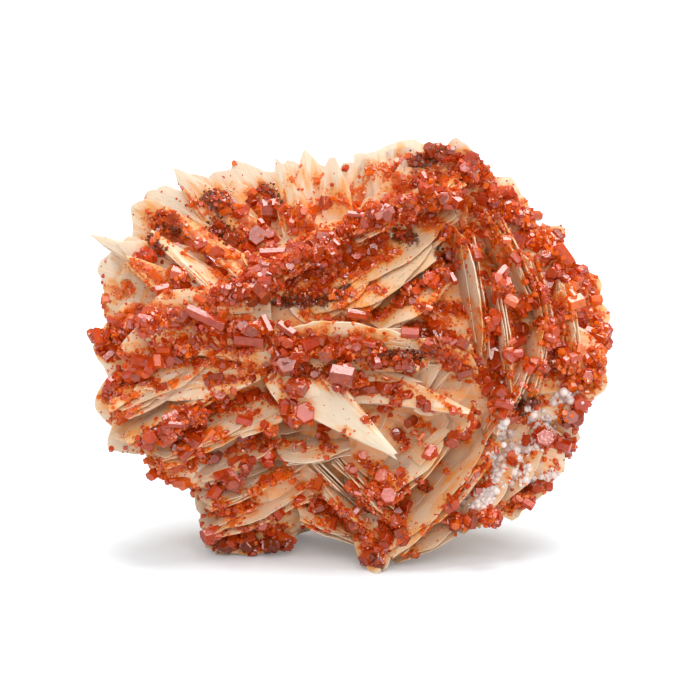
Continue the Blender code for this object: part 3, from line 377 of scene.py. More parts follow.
        ([(24.2, 14.6), (27.4, 12.2), (31.0, 16.0)], 1.5, 0.45, 0.5),
        ([(14.2, 7.4), (20.2, 7.8), (25.4, 10.8), (30.4, 13.4)], 1.4, 0.9, 0.6),
        ([(15.8, 20.6), (17.8, 20.2)], 1.1, 0.8, 0.4), ([(10.0, 5.6), (12.8, 8.2)], 0.9, 0.7, 0.3),
        ([(7.6, 2.6), (9.8, 2.8)], 0.9, 0.7, 0.5),
        ([(16.6, 48.0), (22.0, 46.8), (28.0, 46.4)], 1.4, 0.6, 0.4),
        ([(15.8, 55.8), (19.4, 54.0), (22.2, 52.8)], 1.8, 1.0, 0.7),
        ([(31.2, 49.6), (33.4, 44.2), (33.0, 38.4)], 1.6, 0.9, 0.1),
        ([(23.2, 33.2), (27.4, 30.6), (31.2, 29.4)], 2.0, 1.0, 0.6),
        ([(20.6, 24.6), (21.4, 21.2)], 1.2, 0.5, 0.5), ([(28.2, 21.8), (29.0, 17.6)], 1.4, 0.8, 0.5),
        ([(13.6, 25.6), (16.6, 23.4)], 0.9, 0.4, 0.4),
        ([(30.6, 50.8), (34.0, 48.0), (35.8, 45.0)], 2.0, 1.0, 0.85),
        ([(32.4, 50.0), (35.0, 47.4)], 1.2, 1.0, 0.8), ([(29.2, 37.4), (32.0, 35.6)], 1.4, 1.0, 0.7),
        ([(18.4, 29.6), (20.4, 27.6)], 1.2, 1.0, 0.7), ([(19.8, 20.6), (21.4, 18.6)], 1.0, 0.8, 0.6),
        ([(24.0, 16.0), (27.6, 19.4)], 2.2, 0.5, 0.6), ([(20.8, 31.0), (23.8, 29.4)], 1.4, 1.0, 0.7),
    ],
}

# How thickly the crusts of each piece grow against the table, and how much deeper they are in tone; the lower
# pieces are deeper red partly as painted shade, for light that falls off down the face.
RICHNESS = {
    "fan_crystals": (0.66, -0.12), "upper_ridge_crystals": (1.0, 0.06), "middle_ridge_crystals": (0.82, 0.04),
    "leaf_crystals": (1.32, 0.16), "lower_left_crystals": (1.3, 0.2), "dome_crystals": (1.0, 0.0),
}

# Single crystals that stand out: x, v, radius, length, angle in the face (None: end on), tone.
SINGLES = {
    "fan_crystals": [
        (-11.4, 47.6, 0.9, 5.0, 3, 0.6), (-15.4, 56.4, 0.75, 2.9, 108, 0.8),
        (-12.2, 54.5, 1.5, 3.2, 20, 0.9), (-14.5, 50.3, 1.4, 2.6, None, 0.9),
        (-19.8, 45.3, 1.1, 2.4, 150, 0.4), (-25.8, 44.4, 1.2, 2.6, 160, 0.35),
        (-13.0, 44.8, 0.9, 2.0, None, 0.7), (-22.6, 49.0, 0.7, 1.8, 30, 0.5),
        (-21.4, 47.0, 0.45, 2.6, 125, 0.6),
    ],
    "upper_ridge_crystals": [
        (15.3, 55.4, 0.9, 2.6, 120, 0.7), (3.0, 53.7, 0.7, 2.2, 95, 0.8), (4.9, 53.6, 0.9, 2.2, 70, 0.8),
        (1.0, 53.4, 0.5, 3.4, 172, 0.7), (-0.7, 48.3, 0.5, 3.2, 142, 0.8), (-0.7, 44.8, 0.45, 2.6, 80, 0.8),
        (-5.6, 46.6, 0.8, 2.0, 40, 0.8), (7.4, 50.6, 0.6, 1.8, 20, 0.6), (16.8, 60.4, 0.9, 1.8, None, 0.6),
    ],
    "middle_ridge_crystals": [
        (-21.7, 37.8, 1.0, 6.4, 149, 0.75), (-15.1, 34.6, 1.2, 4.6, 165, 0.8),
        (-16.2, 36.6, 1.1, 2.2, None, 0.9), (-12.6, 36.8, 0.7, 3.2, 105, 0.8),
        (-9.6, 36.2, 0.8, 3.2, 130, 0.9), (-5.0, 34.8, 1.0, 2.6, 150, 0.9),
        (-3.4, 34.6, 0.7, 2.4, 120, 0.8), (-30.6, 37.6, 0.8, 2.4, 165, 0.5),
        (-26.6, 37.2, 0.9, 2.6, 20, 0.7), (-25.2, 34.6, 0.7, 2.0, 60, 0.6), (0.4, 34.8, 0.7, 2.0, 30, 0.6),
        (-36.4, 27.0, 0.8, 2.6, 150, 0.6),
    ],
    "lower_left_crystals": [
        (-26.8, 23.0, 0.9, 2.6, 35, 0.7), (-24.4, 24.0, 0.8, 2.0, 60, 0.8),
        (-20.4, 25.2, 1.0, 2.2, None, 0.5), (-23.6, 19.6, 1.2, 2.8, 125, 0.8),
        (-21.6, 20.6, 0.7, 2.2, 30, 0.7), (-17.0, 26.4, 0.6, 3.0, 95, 0.7),
        (-16.0, 22.6, 0.8, 2.4, 160, 0.5), (-17.4, 16.6, 0.7, 2.4, 25, 0.7),
        (-19.4, 14.6, 0.7, 2.6, 30, 0.6), (-17.6, 9.2, 0.8, 3.0, 10, 0.5), (-21.0, 5.6, 1.1, 3.2, 30, 0.6),
        (-18.0, 4.6, 0.8, 2.2, 75, 0.6), (-12.8, 3.4, 1.1, 2.0, None, 0.8),
        (-14.6, 6.4, 0.6, 1.8, 160, 0.6), (-11.0, 14.4, 0.8, 1.8, 45, 0.3),
    ],
    "leaf_crystals": [
        (-9.8, 31.2, 1.6, 3.0, None, 0.85), (-8.2, 27.4, 1.1, 2.8, 145, 0.9),
        (-7.0, 23.8, 1.5, 2.2, None, 0.45), (-4.2, 21.6, 0.7, 1.9, 12, 0.7),
        (-1.4, 29.2, 1.6, 3.6, 160, 0.95), (7.4, 40.2, 1.0, 2.2, 65, 0.8), (-2.9, 7.0, 0.6, 2.2, 80, 0.6),
        (0.3, 6.8, 0.8, 1.9, 20, 0.6), (5.3, 11.5, 1.3, 2.4, None, 0.6), (2.4, 2.4, 1.1, 2.6, 60, 0.8),
        (10.9, 12.9, 0.6, 1.8, 80, 0.7), (4.4, 14.2, 1.3, 2.4, None, 0.35), (-9.4, 31.0, 0.9, 2.2, 25, 0.9),
    ],
    "dome_crystals": [
        (22.0, 44.4, 0.8, 3.2, 62, 0.7), (29.1, 43.5, 1.6, 2.6, None, 0.75),
        (27.4, 40.7, 0.9, 2.0, 70, 0.8), (19.9, 40.4, 0.9, 2.2, 20, 0.7), (37.0, 35.4, 0.9, 3.6, 150, 0.4),
        (28.9, 19.8, 1.5, 2.6, None, 0.7), (31.0, 19.0, 1.0, 4.2, 145, 0.6),
        (22.0, 31.6, 1.6, 3.0, 100, 0.85), (21.6, 7.8, 0.6, 1.9, 85, 0.8), (33.4, 40.2, 1.2, 2.6, 35, 0.0),
        (24.6, 34.4, 1.0, 2.6, 40, 0.7), (35.0, 45.0, 0.9, 2.0, 60, 0.5),
    ],
}

# Hollows lined with brown druse and dark oxide grains, where the barite is painted dark brown as shade in the
# gaps: line (x and v), reach to either side.
HOLLOWS = [
    ([(-11.4, 40.4), (-4.4, 40.6), (-0.4, 42.4)], 1.3), ([(6.4, 50.6), (9.0, 49.8)], 1.5),
    ([(3.8, 32.6), (9.4, 32.4), (13.6, 33.4)], 1.2), ([(24.6, 24.4), (27.6, 25.6)], 1.5),
    ([(29.4, 30.2), (32.0, 30.6)], 1.2), ([(9.0, 61.4), (13.4, 62.6)], 1.4),
    ([(-21.6, 56.2), (-18.8, 54.4)], 1.8), ([(-29.0, 53.0), (-26.4, 51.4)], 1.8),
    ([(-20.4, 51.8), (-17.4, 49.6)], 1.5), ([(-30.6, 50.4), (-28.4, 47.6)], 1.1),
    ([(-13.6, 57.6), (-11.6, 56.4)], 1.3), ([(12.8, 47.6), (14.6, 45.4)], 1.0),
    ([(10.4, 13.2), (11.6, 12.4)], 0.7),
]

# Broad flushes of orange in the barite: line (x and v), reach to either side, strength.
FLUSHES = [
    ([(-31.5, 54.0), (-27.0, 50.6)], 2.6, 0.42), ([(-23.6, 56.4), (-17.0, 57.0), (-11.4, 54.6)], 2.6, 0.40),
    ([(-10.4, 58.2), (-6.8, 59.8)], 2.2, 0.40), ([(-4.8, 56.8), (2.2, 58.2), (9.4, 60.2)], 2.6, 0.30),
    ([(-34.6, 45.6), (-28.0, 45.0)], 2.2, 0.40), ([(-22.0, 48.6), (-15.4, 44.8)], 2.6, 0.42),
    ([(-37.4, 42.6), (-36.8, 38.0)], 1.4, 0.40), ([(-36.4, 23.6), (-30.8, 19.0)], 2.0, 0.42),
    ([(18.6, 52.6), (28.4, 49.6), (34.6, 43.0)], 2.6, 0.45), ([(18.4, 39.4), (19.4, 33.6)], 1.4, 0.42),
    ([(28.4, 36.4), (33.6, 33.4)], 2.6, 0.42), ([(12.0, 10.2), (18.0, 16.4)], 1.5, 0.34),
    ([(8.6, 5.2), (14.6, 8.6)], 1.4, 0.42), ([(8.6, 27.6), (13.4, 26.0)], 1.4, 0.40),
    ([(9.0, 19.4), (14.6, 14.0)], 1.8, 0.28), ([(-30.4, 53.0), (-22.0, 49.6), (-13.0, 50.0)], 2.6, 0.52),
]

# Beads of calcite: line (x and v), reach to either side, how thickly they sit.
BEAD_RUNS = [
    ([(22.2, 22.0), (22.8, 20.4)], 1.2, 0.9),
    ([(21.2, 17.8), (21.8, 15.4), (20.8, 12.2), (17.4, 9.4)], 1.4, 1.0),
    ([(22.8, 18.4), (26.4, 18.2), (29.6, 22.4)], 1.8, 0.8), ([(30.4, 25.8), (33.4, 26.8)], 1.4, 0.8),
    ([(29.0, 13.8), (31.0, 15.2)], 1.2, 0.8), ([(24.0, 13.6), (26.4, 15.8)], 2.0, 0.45),
    ([(26.8, 23.4), (28.8, 21.0)], 1.6, 0.7),
]

# The build of a blade, as in the solids.
THICK, THICK_BASE, THICK_BY_WIDTH = 1.25, 0.75, 0.03    # thickness, which grows with the width
ROOT_SHARE = 0.62               # width of its root against its widest
WIDEST = 0.45                   # share of its length where it is widest
RIM_SPAN, WAIST_SHARE = 0.92, 0.35      # width of its rim, and how much a full point draws that in
RIM_DROP, POINT_DROP, RIM_ROUND = 0.16, 0.62, 1.4       # how its rim falls off to the sides
TURN = 3                        # degrees by which the lie of a copy strays

# The thin plates that it is built of here, in millimetres or as shares of the plate.
PLATES, PLATE_THICK = 3, 0.5
CELL, CROSS_CELL = 2.2, 1.0     # spacing of a plate's grid along and across it
REAR_ROOT, REAR_CELL = -4, 1.7  # a plate rooted behind this depth has so much wider a spacing
EDGE_TAPER, EDGE_SHARE = 1.1, 0.3       # how far in from its edge it thins, and the thickness left there
EDGE_PAINT = 1.6                # how far in its edge is painted
RIM_RAGGED, SIDE_RAGGED = 0.055, 0.05
JAG, JOGS, JOG_CELLS = 0.3, (-1, -0.4, 0.4, 1), 3       # jogs of its rim, each a few cells wide
RIDGE, CROSS_RIDGE = 0.06, 0.6  # height of the ridges of its faces, and how much they waver
SWELL = 0.05                    # slow rise and fall of its faces
STRAIGHT = -0.2                 # the point of a long, straight-rimmed strip
PLATE_THICKNESS = (0.8, 1.2)    # least and most, against the usual one
LOWER_LENGTH, LOWER_WIDTH = (0.82, 0.98), (0.8, 0.97)   # plates under the front one, against it
LOWER_TURN, LOWER_TILT = 2.5, 1 # and how far they stray, in degrees

# The narrow growth steps on its faces.
STEP_EVERY, STEPPED_FROM = 3.9, 5       # one for so much of its width, on blades that are wide enough
WIDE_STEP, LONG_STEP = ((0.45, 0.9), 0.55), ((0.22, 0.42), 0.75)    # share of the width, least of the length
STEP_SUNK, STEP_THICKNESS = (-0.05, 0.2), (0.3, 0.5)
STEP_FAN, STEP_TURN, STEP_TILT = 14, 1.5, 0.8   # degrees by which steps fan out and stray
STEP_POINT = 0.6                # how pointed they are, against the blade

# How the barite of some blades differs: how white it is at the root and the tip (the fan's whiteness is
# partly painted light, for light shining through it), and the least and the most of its tan and painted
# shade (strips, rows and the book are darker as painted shade in their recesses).
TONES = {
    "fan_low": (0.3, 0.9, 0.0, 0.5), "fan": (0.6, 1.0, 0.0, 0.4), "top_": (0.5, 1.0, 0.0, 0.5),
    "bright": (0.6, 0.9, 0.0, 0.2), "right_leaf": (0.5, 0.9, 0.0, 0.3), "left_": (0.3, 0.9, 0.0, 0.5),
    "right_": (0.1, 0.8, 0.1, 0.6), "upper_leaf": (0.2, 0.7, 0.1, 0.6), "dome": (0.1, 0.6, 0.1, 0.65),
    "back": (0.1, 0.8, 0.0, 0.6), "strip": (0.0, 0.0, 0.9, 1.15), "row": (0.0, 0.3, 0.3, 0.9),
    "book": (0.0, 0.15, 0.4, 0.9),
}
OTHER_TONES = (0, 0.4, 0.2, 0.8)

dice = np.random.default_rng(7)


def stood(points):
    """Points of the layout, in millimetres, as they stand in the world, in metres."""
    x, v, d = np.asarray(points, float).reshape(-1, 3).T
    height = v * math.cos(LEAN) + d * math.sin(LEAN) - GROUND
    depth = v * math.sin(LEAN) - d * math.cos(LEAN) - SETBACK
    return np.column_stack((x, depth, height)) * MM


def unstood(points):
    """The layout's points of world points."""
    x, y, z = (np.asarray(points, float).reshape(-1, 3) / MM + (0, SETBACK, GROUND)).T
    v = y * math.sin(LEAN) + z * math.cos(LEAN)
    return np.column_stack((x, v, z * math.sin(LEAN) - y * math.cos(LEAN)))


def put(name, data):
    """An object of the scene, made of some data."""
    thing = bpy.data.objects.new(name, data)
    bpy.context.scene.collection.objects.link(thing)
    return thing


class Growth:
    """Shapes gathered for one piece. Each corner has four values of paint, and its place in the grain."""

    def __init__(self):
        self.corners, self.paint, self.grain, self.faces, self.total = [], [], [], [], 0

    def add(self, corners, faces, paint, grain=None, smooth=False):
        self.corners.append(corners)
        self.paint.append(np.broadcast_to(paint, (len(corners), 4)))
        self.grain.append(corners if grain is None else grain)
        self.faces += [(group + self.total, smooth) for group in faces]
        self.total += len(corners)

    def surface(self):
        """The gathered shapes, to cast rays on."""
        polygons = [row for group, _ in self.faces for row in group.tolist()]
        return BVHTree.FromPolygons(np.concatenate(self.corners).tolist(), polygons)

    def piece(self, name, finish, slot, nodes=(), paint=None):
        """The gathered shapes as an object that rides with the specimen."""
        data = bpy.data.meshes.new(name)
        corners = np.clip(stood(np.concatenate(self.corners)), solid_low, solid_high)
        sizes = np.concatenate([np.full(len(group), group.shape[1]) for group, _ in self.faces])
        smooth = np.concatenate([np.full(len(group), smooth) for group, smooth in self.faces])
        loops = np.concatenate([group.ravel() for group, _ in self.faces])
        data.vertices.add(len(corners))
        data.vertices.foreach_set("co", corners.ravel())
        data.loops.add(len(loops))
        data.loops.foreach_set("vertex_index", loops)
        data.polygons.add(len(sizes))
        data.polygons.foreach_set("loop_start", np.cumsum(sizes) - sizes)
        data.polygons.foreach_set("use_smooth", smooth)
        data.update(calc_edges=True)
        if smooth.any():
            data.set_sharp_from_angle(angle=SHARP)
        paint = np.concatenate(self.paint) if paint is None else paint
        data.attributes.new("paint", "FLOAT_COLOR", "POINT").data.foreach_set("color", paint.ravel())
        grain = np.concatenate(self.grain)
        data.attributes.new("grain", "FLOAT_VECTOR", "POINT").data.foreach_set("vector", grain.ravel())
        data.materials.append(finish)
        thing = put(name, data)
        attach(thing, "root")
        if nodes:
            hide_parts(*nodes)


def together(*growths):
    """Several growths as one surface to cast rays on."""
    every = Growth()
    for growth in growths:
        every.add(np.concatenate(growth.corners), [group for group, _ in growth.faces], UNPAINTED)
    return every.surface()


# Blades.

def relief(rows, columns, shape):
    """A smooth random relief between -1 and 1, of so many rows and columns of knots, over a grid."""
    knots = dice.uniform(-1, 1, (rows + 1, columns + 1))
    spots = [np.linspace(0, most, count) for most, count in zip((rows, columns), shape)]
    cells = [np.minimum(s.astype(int), most - 1) for s, most in zip(spots, (rows, columns))]
    u, w = [(s - c) ** 2 * (3 - 2 * (s - c)) for s, c in zip(spots, cells)]
    near, far = [row[:, cells[1]] * (1 - w) + row[:, cells[1] + 1] * w
                 for row in (knots[cells[0]], knots[cells[0] + 1])]
    return near * (1 - u[:, None]) + far * u[:, None]


def grid_faces(rows, columns, start, turned):
    """Quads between a grid's points, numbered row by row from a start."""
    first = (np.arange(rows)[:, None] * (columns + 1) + np.arange(columns)).ravel() + start
    quads = np.column_stack((first, first + columns + 1, first + columns + 2, first + 1))
    return quads[:, ::-1] if turned else quads


def rim_loop(rows, columns):
    """The outer points of a grid, in order."""
    wide = columns + 1
    return np.concatenate((
        np.arange(columns), np.arange(rows) * wide + columns,
        rows * wide + np.arange(columns, 0, -1), np.arange(rows, 0, -1) * wide))


def add_plate(growth, root, axes, length, width, thick, point, tone):
    """A thin plate of barite with a ragged, tapered rim and ridges along its faces."""
    along, across, normal = axes
    wider = REAR_CELL if root[2] < REAR_ROOT else 1
    rows, columns = max(3, round(length / CELL / wider)), max(4, round(width / CROSS_CELL / wider))
    shape = (rows + 1, columns + 1)
    u = np.linspace(0, 1, rows + 1)[:, None] * np.ones(shape)
    s = np.linspace(-1, 1, columns + 1)[None, :] * np.ones(shape)
    drop = RIM_DROP + POINT_DROP * point
    rim = 1 - drop * np.abs(s) ** RIM_ROUND + RIM_RAGGED * relief(1, max(2, columns // 4), shape)[:1]
    rim += JAG / length * dice.choice(JOGS, columns + 1)[(np.arange(columns + 1) + 1) // JOG_CELLS]
    rim /= rim.max()
    side = ROOT_SHARE + (1 - ROOT_SHARE) * np.minimum(u / WIDEST, 1)
    side -= np.maximum(u - WIDEST, 0) / (1 - WIDEST) * (1 - RIM_SPAN * (1 - WAIST_SHARE * point))
    side *= 1 + SIDE_RAGGED * relief(max(2, rows // 2), 1, shape)[:, :1]
    x, y = u * rim * length, s * side * width / 2
    inward = np.minimum((1 - np.abs(s)) * width / 2, (1 - u) * length)
    taper = EDGE_SHARE + (1 - EDGE_SHARE) * np.minimum(inward / EDGE_TAPER, 1)
    swell = SWELL * relief(2, 2, shape)
    corners = []
    for way in (1, -1):
        lines = dice.uniform(-1, 1, (rows + 1, 1) if width > length else columns + 1)
        ridges = RIDGE * (lines + CROSS_RIDGE * relief(rows // 2 + 1, columns, shape))
        z = swell + way * (thick * taper / 2 + ridges * taper)
        grid = np.stack((x, y, z), -1).reshape(-1, 3)
        corners.append(root + grid @ np.array([along, across, normal]))
    count = shape[0] * shape[1]
    edge = rim_loop(rows, columns)
    after = np.roll(edge, -1)
    walls = np.column_stack((edge, after, after + count, edge + count))
    faces = [grid_faces(rows, columns, 0, True), grid_faces(rows, columns, count, False), walls[:, ::-1]]
    if np.dot(np.cross(along, across), normal) < 0:
        faces = [group[:, ::-1] for group in faces]
    # whiteness towards the tip: paler thin tips, and on the fan partly painted light, for light shining
    # through the thin blades
    pale_and_backlit = np.tile((tone[0] + (tone[1] - tone[0]) * u ** 2).ravel(), 2)
    edging = np.tile(np.clip(1 - inward / EDGE_PAINT, 0, 1).ravel(), 2)
    paint = np.column_stack((pale_and_backlit, np.zeros(2 * count), edging, np.full(2 * count, tone[2])))
    mark = dice.uniform(0, 100)         # sets each plate's grain apart from the next one's
    lengthwise, crosswise = (y, x) if width > length else (x, y)
    grain = np.column_stack((
        np.tile(lengthwise.ravel(), 2), np.tile(crosswise.ravel(), 2) + mark, np.full(2 * count, mark)))
    growth.add(np.concatenate(corners), faces, paint, grain, smooth=True)


def unit(vector):
    return vector / np.linalg.norm(vector)


def blade_axes(root, tip, lie):
    """Unit vectors along a blade, across it and out of its front, and its length."""
    reach = np.subtract(tip, root).astype(float)
    in_face, out_of_face = map(math.radians, lie)
    across = np.array([
        math.cos(in_face) * math.cos(out_of_face), math.sin(in_face) * math.cos(out_of_face),
        math.sin(out_of_face)])
    along = unit(reach)
    across = unit(across - across @ along * along)
    normal = np.cross(along, across)
    if normal[2] < 0:
        across, normal = -across, -normal
    return (along, across, normal), np.linalg.norm(reach)


def turned_axes(axes, in_plane, tilt):
    """Axes turned a little, in degrees, in the plane of the blade and out of it."""
    along, across, normal = axes
    a, t = math.radians(in_plane), math.radians(tilt)
    along, across = along * math.cos(a) + across * math.sin(a), across * math.cos(a) - along * math.sin(a)
    along, normal = along * math.cos(t) + normal * math.sin(t), normal * math.cos(t) - along * math.sin(t)
    return along, across, normal


def all_blades():
    """Every blade of the tables: name, root, tip, width, lie, point."""
    for name, root, tip, width, lie, point, *copied in BLADES + FINE_BLADES:
        copies, step = copied or (1, (0, 0, 0))
        for i in range(copies):
            straying = random.Random(f"{name} {i}")
            turn = [angle + straying.uniform(-TURN, TURN) for angle in lie]
            shift = np.multiply(step, i)
            yield name, np.add(root, shift), np.add(tip, shift), width, turn, point


def blade_tone(name):
    """How white a blade is at its root and at its tip, and how much tan and painted shade this plate of it
    gets.
    """
    found = (tones for start, tones in TONES.items() if name.startswith(start))
    root, tip, least, most = next(found, OTHER_TONES)
    return root, tip, dice.uniform(least, most)


def add_steps(growth, name, root, axes, length, width, thick, point):
    """The narrow growth steps on both faces of a blade, more of them on its front."""
    wide = width > length
    shares, least = WIDE_STEP if wide else LONG_STEP
    for _ in range(round(width / STEP_EVERY)):
        way = dice.choice((1, 1, -1))
        share = dice.uniform(*shares)
        aside = dice.uniform(-0.5, 0.5) * (1 - share) * width
        level = way * (thick / 2 - dice.uniform(*STEP_SUNK))
        step_axes = turned_axes(
            axes, aside / width * STEP_FAN + dice.normal(0, STEP_TURN), dice.normal(0, STEP_TILT))
        corner = 2 * abs(aside) / width + (share if wide else 0)
        reach = dice.uniform(least, 1.0) * (1 - (RIM_DROP + POINT_DROP * point) * corner ** RIM_ROUND)
        add_plate(growth, root + axes[2] * level + axes[1] * aside * ROOT_SHARE, step_axes, length * reach,
                  width * share, dice.uniform(*STEP_THICKNESS), STRAIGHT if wide else point * STEP_POINT,
                  blade_tone(name))


def add_blade(growth, name, root, tip, width, lie, point):
    """The plates of one blade, the front one at its full size, and its steps. Gives the blade's axes."""
    axes, length = blade_axes(root, tip, lie)
    thick = THICK * (THICK_BASE + THICK_BY_WIDTH * width)
    for k in range(PLATES):
        level = (thick - PLATE_THICK) * (0.5 - k / (PLATES - 1))
        longer, wider, plate_axes, plate_point = 1, 1, axes, point
        if k:
            longer = dice.uniform(*LOWER_LENGTH)
            plate_axes = turned_axes(
                axes, dice.uniform(-LOWER_TURN, LOWER_TURN), dice.uniform(-LOWER_TILT, LOWER_TILT))
            wider = dice.uniform(*LOWER_WIDTH)
            plate_point = STRAIGHT / 2 if width > length else point
        add_plate(growth, root + axes[2] * level, plate_axes, length * longer, width * wider,
                  PLATE_THICK * dice.uniform(*PLATE_THICKNESS), plate_point, blade_tone(name))
    if width > STEPPED_FROM and not name.startswith("bright"):
        add_steps(growth, name, root, axes, length, width, thick, point)
    return axes


# Looking at the specimen from a side.

def side_spot(side, first, second):
    """A pair of numbers of a side, as a point of the layout."""
    if side in ("front", "back"):
        return (first, second, 0)
    if side in ("right", "left"):
        return (0, second, first)
    return (first, 0, second)


def look_from(surface, side, spot):
    """Where a ray from one side first meets a surface: place, way out and number of the face."""
    outward = SIDES[side]
    spot = Vector(spot)
    spot -= spot.dot(outward) * outward
    hit, normal, face, _ = surface.ray_cast(spot + outward * FAR, -outward)
    return hit, normal, face


def along_line(points, share):
    """The point at a share of the way along a line of points."""
    spans = [math.dist(a, b) for a, b in zip(points, points[1:])]
    reach = share * sum(spans)
    for start, end, span in zip(points, points[1:], spans):
        if reach <= span:
            return [a + (b - a) * reach / span for a, b in zip(start, end)]
        reach -= span
    return list(points[-1])


def band_count(line, reach, rate, richness):
    """How many things grow on a band about a line, at so many for each square millimetre."""
    length = sum(math.dist(a, b) for a, b in zip(line, line[1:]))
    return int((length + reach) * 2 * reach * rate * richness)


def band_hits(surface, line, reach, rate, spread, richness=1.0):
    """Places and ways out of things strewn about a line on the front."""
    for _ in range(band_count(line, reach, rate, richness)):
        first, second = along_line(line, dice.uniform())
        turn, aside = dice.uniform(0, 2 * math.pi), abs(dice.normal(0, spread)) * reach
        spot = side_spot("front", first + math.cos(turn) * aside, second + math.sin(turn) * aside)
        hit, normal, _ = look_from(surface, "front", spot)
        if hit is not None:
            yield hit, normal


# Splinters: small plates that lie along the nearest blade, and fill the steps and gaps between blades.
SPLINTER_LENGTH, SPLINTER_WIDTH, SPLINTER_THICKNESS = (4, 10), (2.4, 7.5), (0.28, 0.6)
OUTWARD = 0.55                  # a blade runs outwards that goes out of the face by this share of its way
REAR_SCALE, OUTWARD_SCALE, CLEAN_SCALE = (1.2, 1.3), (0.7, 1.7), (0.7, 0.6)     # of length and width
CLEAN = ("fan", "bright", "right_leaf", "upper_leaf", "book", "left_", "top_", "right_", "strip",
         "dome_edge")
CLEAN_GAP, CLEAN_SHARE = 0.1, 0.85      # few splinters start on the faces of these blades
OUTWARD_TURN, SPLINTER_TURN, SPLINTER_TILT = 5, 9, 4    # how they stray, in degrees
RAISED, DRAWN_BACK, SHIFTED = (-1.3, 1.5), (-1.2, 0.2), (-1, 1)     # where its tip lies from its spot
SPLINTER_POINT = (0.05, 0.7)
SPLINTER_REACH = 0.8            # how far a splinter may stand out of the solids
TESTED_ASIDE = 0.4              # where that is tested, against its width


def is_inside(skin, spot):
    """Whether a point is within a closed surface: a ray from it meets that an odd number of times."""
    way, crossings = Vector((0.31, 0.2, 0.93)), 0
    hit = skin.ray_cast(spot, way)[0]
    while hit is not None:
        crossings += 1
        hit = skin.ray_cast(hit + way * 1e-3, way)[0]
    return crossings % 2 == 1


def sticks_out(skin, spots):
    """Whether any of some points is clearly outside the solid barite."""
    return any(skin.find_nearest(Vector(spot))[3] > SPLINTER_REACH and not is_inside(skin, Vector(spot))
               for spot in spots)


def add_splinters(growth, skin, ground, blades, owners, side, spread, count):
    """Splinters over one side. Each owner is the name and axes of the blade that a face belongs to."""
    for _ in range(count):
        pair = [dice.uniform(*reach) for reach in spread]
        hit, _, _ = look_from(ground, side, side_spot(side, *pair))
        if hit is None:
            continue
        _, _, face, gap = blades.find_nearest(hit)
        name, axes = owners[face]
        clean, outward = name.startswith(CLEAN), abs(axes[0][2]) > OUTWARD
        if side == "front" and gap < CLEAN_GAP and clean and dice.uniform() < CLEAN_SHARE:
            continue
        length, width = dice.uniform(*SPLINTER_LENGTH), dice.uniform(*SPLINTER_WIDTH)
        scales = (side == "back", REAR_SCALE), (outward, OUTWARD_SCALE), (clean, CLEAN_SCALE)
        for applies, (longer, wider) in scales:
            if applies:
                length, width = length * longer, width * wider
        turn = dice.normal(0, OUTWARD_TURN if outward else SPLINTER_TURN)
        turned = turned_axes(axes, turn, dice.normal(0, SPLINTER_TILT))
        tip = np.array(hit) + axes[2] * dice.uniform(*RAISED) + axes[0] * dice.uniform(*DRAWN_BACK)
        tip += axes[1] * dice.uniform(*SHIFTED)
        spots = [tip - turned[0] * back + turned[1] * aside * width
                 for back in (0, 1, length / 2, length) for aside in (-TESTED_ASIDE, TESTED_ASIDE)]
        if sticks_out(skin, spots):
            continue
        point = STRAIGHT if outward else dice.uniform(*SPLINTER_POINT)
        add_plate(growth, tip - turned[0] * length, turned, length, width,
                  dice.uniform(*SPLINTER_THICKNESS), point, blade_tone(name))


# The core.
CORE_SHARE = 0.97               # size of the lobes against the solid ones
LUMP_SIZE, LUMP_HEIGHT = 0.5, 0.06
WAVES, OCTAVES, WAVE_NUMBER, FINER, LOWER = 9, 4, 2.2, 1.6, 1.5     # the waves that make the lumps
TERRACE = 0.03                  # height of the core's steps, against its size
CORE_FRONT = -6                 # the depth where its paint changes
# the last paint is painted shade: the core is darker in front, where it shows in the gaps between blades
CORE_PAINT = ((0, 0.2), (0.26, 0.16), (0, 0), (0.95, 0.45))     # in front of that and behind it


def ball(cuts):
    """Corners and faces of a round ball of radius 1."""
    data = bpy.data.meshes.new("ball")
    mesh = bmesh.new()
    bmesh.ops.create_icosphere(mesh, subdivisions=cuts, radius=1)
    mesh.to_mesh(data)
    mesh.free()
    corners = np.zeros(len(data.vertices) * 3)
    data.vertices.foreach_get("co", corners)
    faces = np.zeros(len(data.polygons) * 3, int)
    data.polygons.foreach_get("vertices", faces)
    bpy.data.meshes.remove(data)
    return corners.reshape(-1, 3), faces.reshape(-1, 3)


def lumps(corners):
    """How far each corner moves out, from waves at different angles, the finer ones lower."""
    total = np.zeros(len(corners))
    for k in range(WAVES):
        way = dice.normal(0, 1, 3)
        wave = corners @ way * (FINER ** (k % OCTAVES)) * WAVE_NUMBER / LUMP_SIZE + dice.uniform(0, 7)
        total += np.sin(wave) / LOWER ** (k % OCTAVES)
    return total * LUMP_HEIGHT / 3


def add_lobes(growth):
    """The broken core that shows between the blades."""
    corners, faces = ball(5)
    for centre, radii in LOBES:
        swell = 1 + np.round(lumps(corners) / TERRACE)[:, None] * TERRACE
        spots = np.add(centre, corners * np.multiply(radii, CORE_SHARE) * swell)
        front = spots[:, 2] > CORE_FRONT
        growth.add(spots, [faces], np.column_stack([np.where(front, near, far) for near, far in CORE_PAINT]))


# Crystals.
RING = np.arange(6) * math.pi / 3
BEVELLED = 0.42                 # crystals of a larger radius than this have bevelled ends
BEVEL_SHARE, BEVEL_MOST = 0.1, 0.14
FLATTENED = 0.22                # how far their sections are from regular
GLEAM = unit(np.array([0.07, 0.68, 0.73]))      # faces square to this mirror the overhead light
GLEAM_STRAY = 0.09

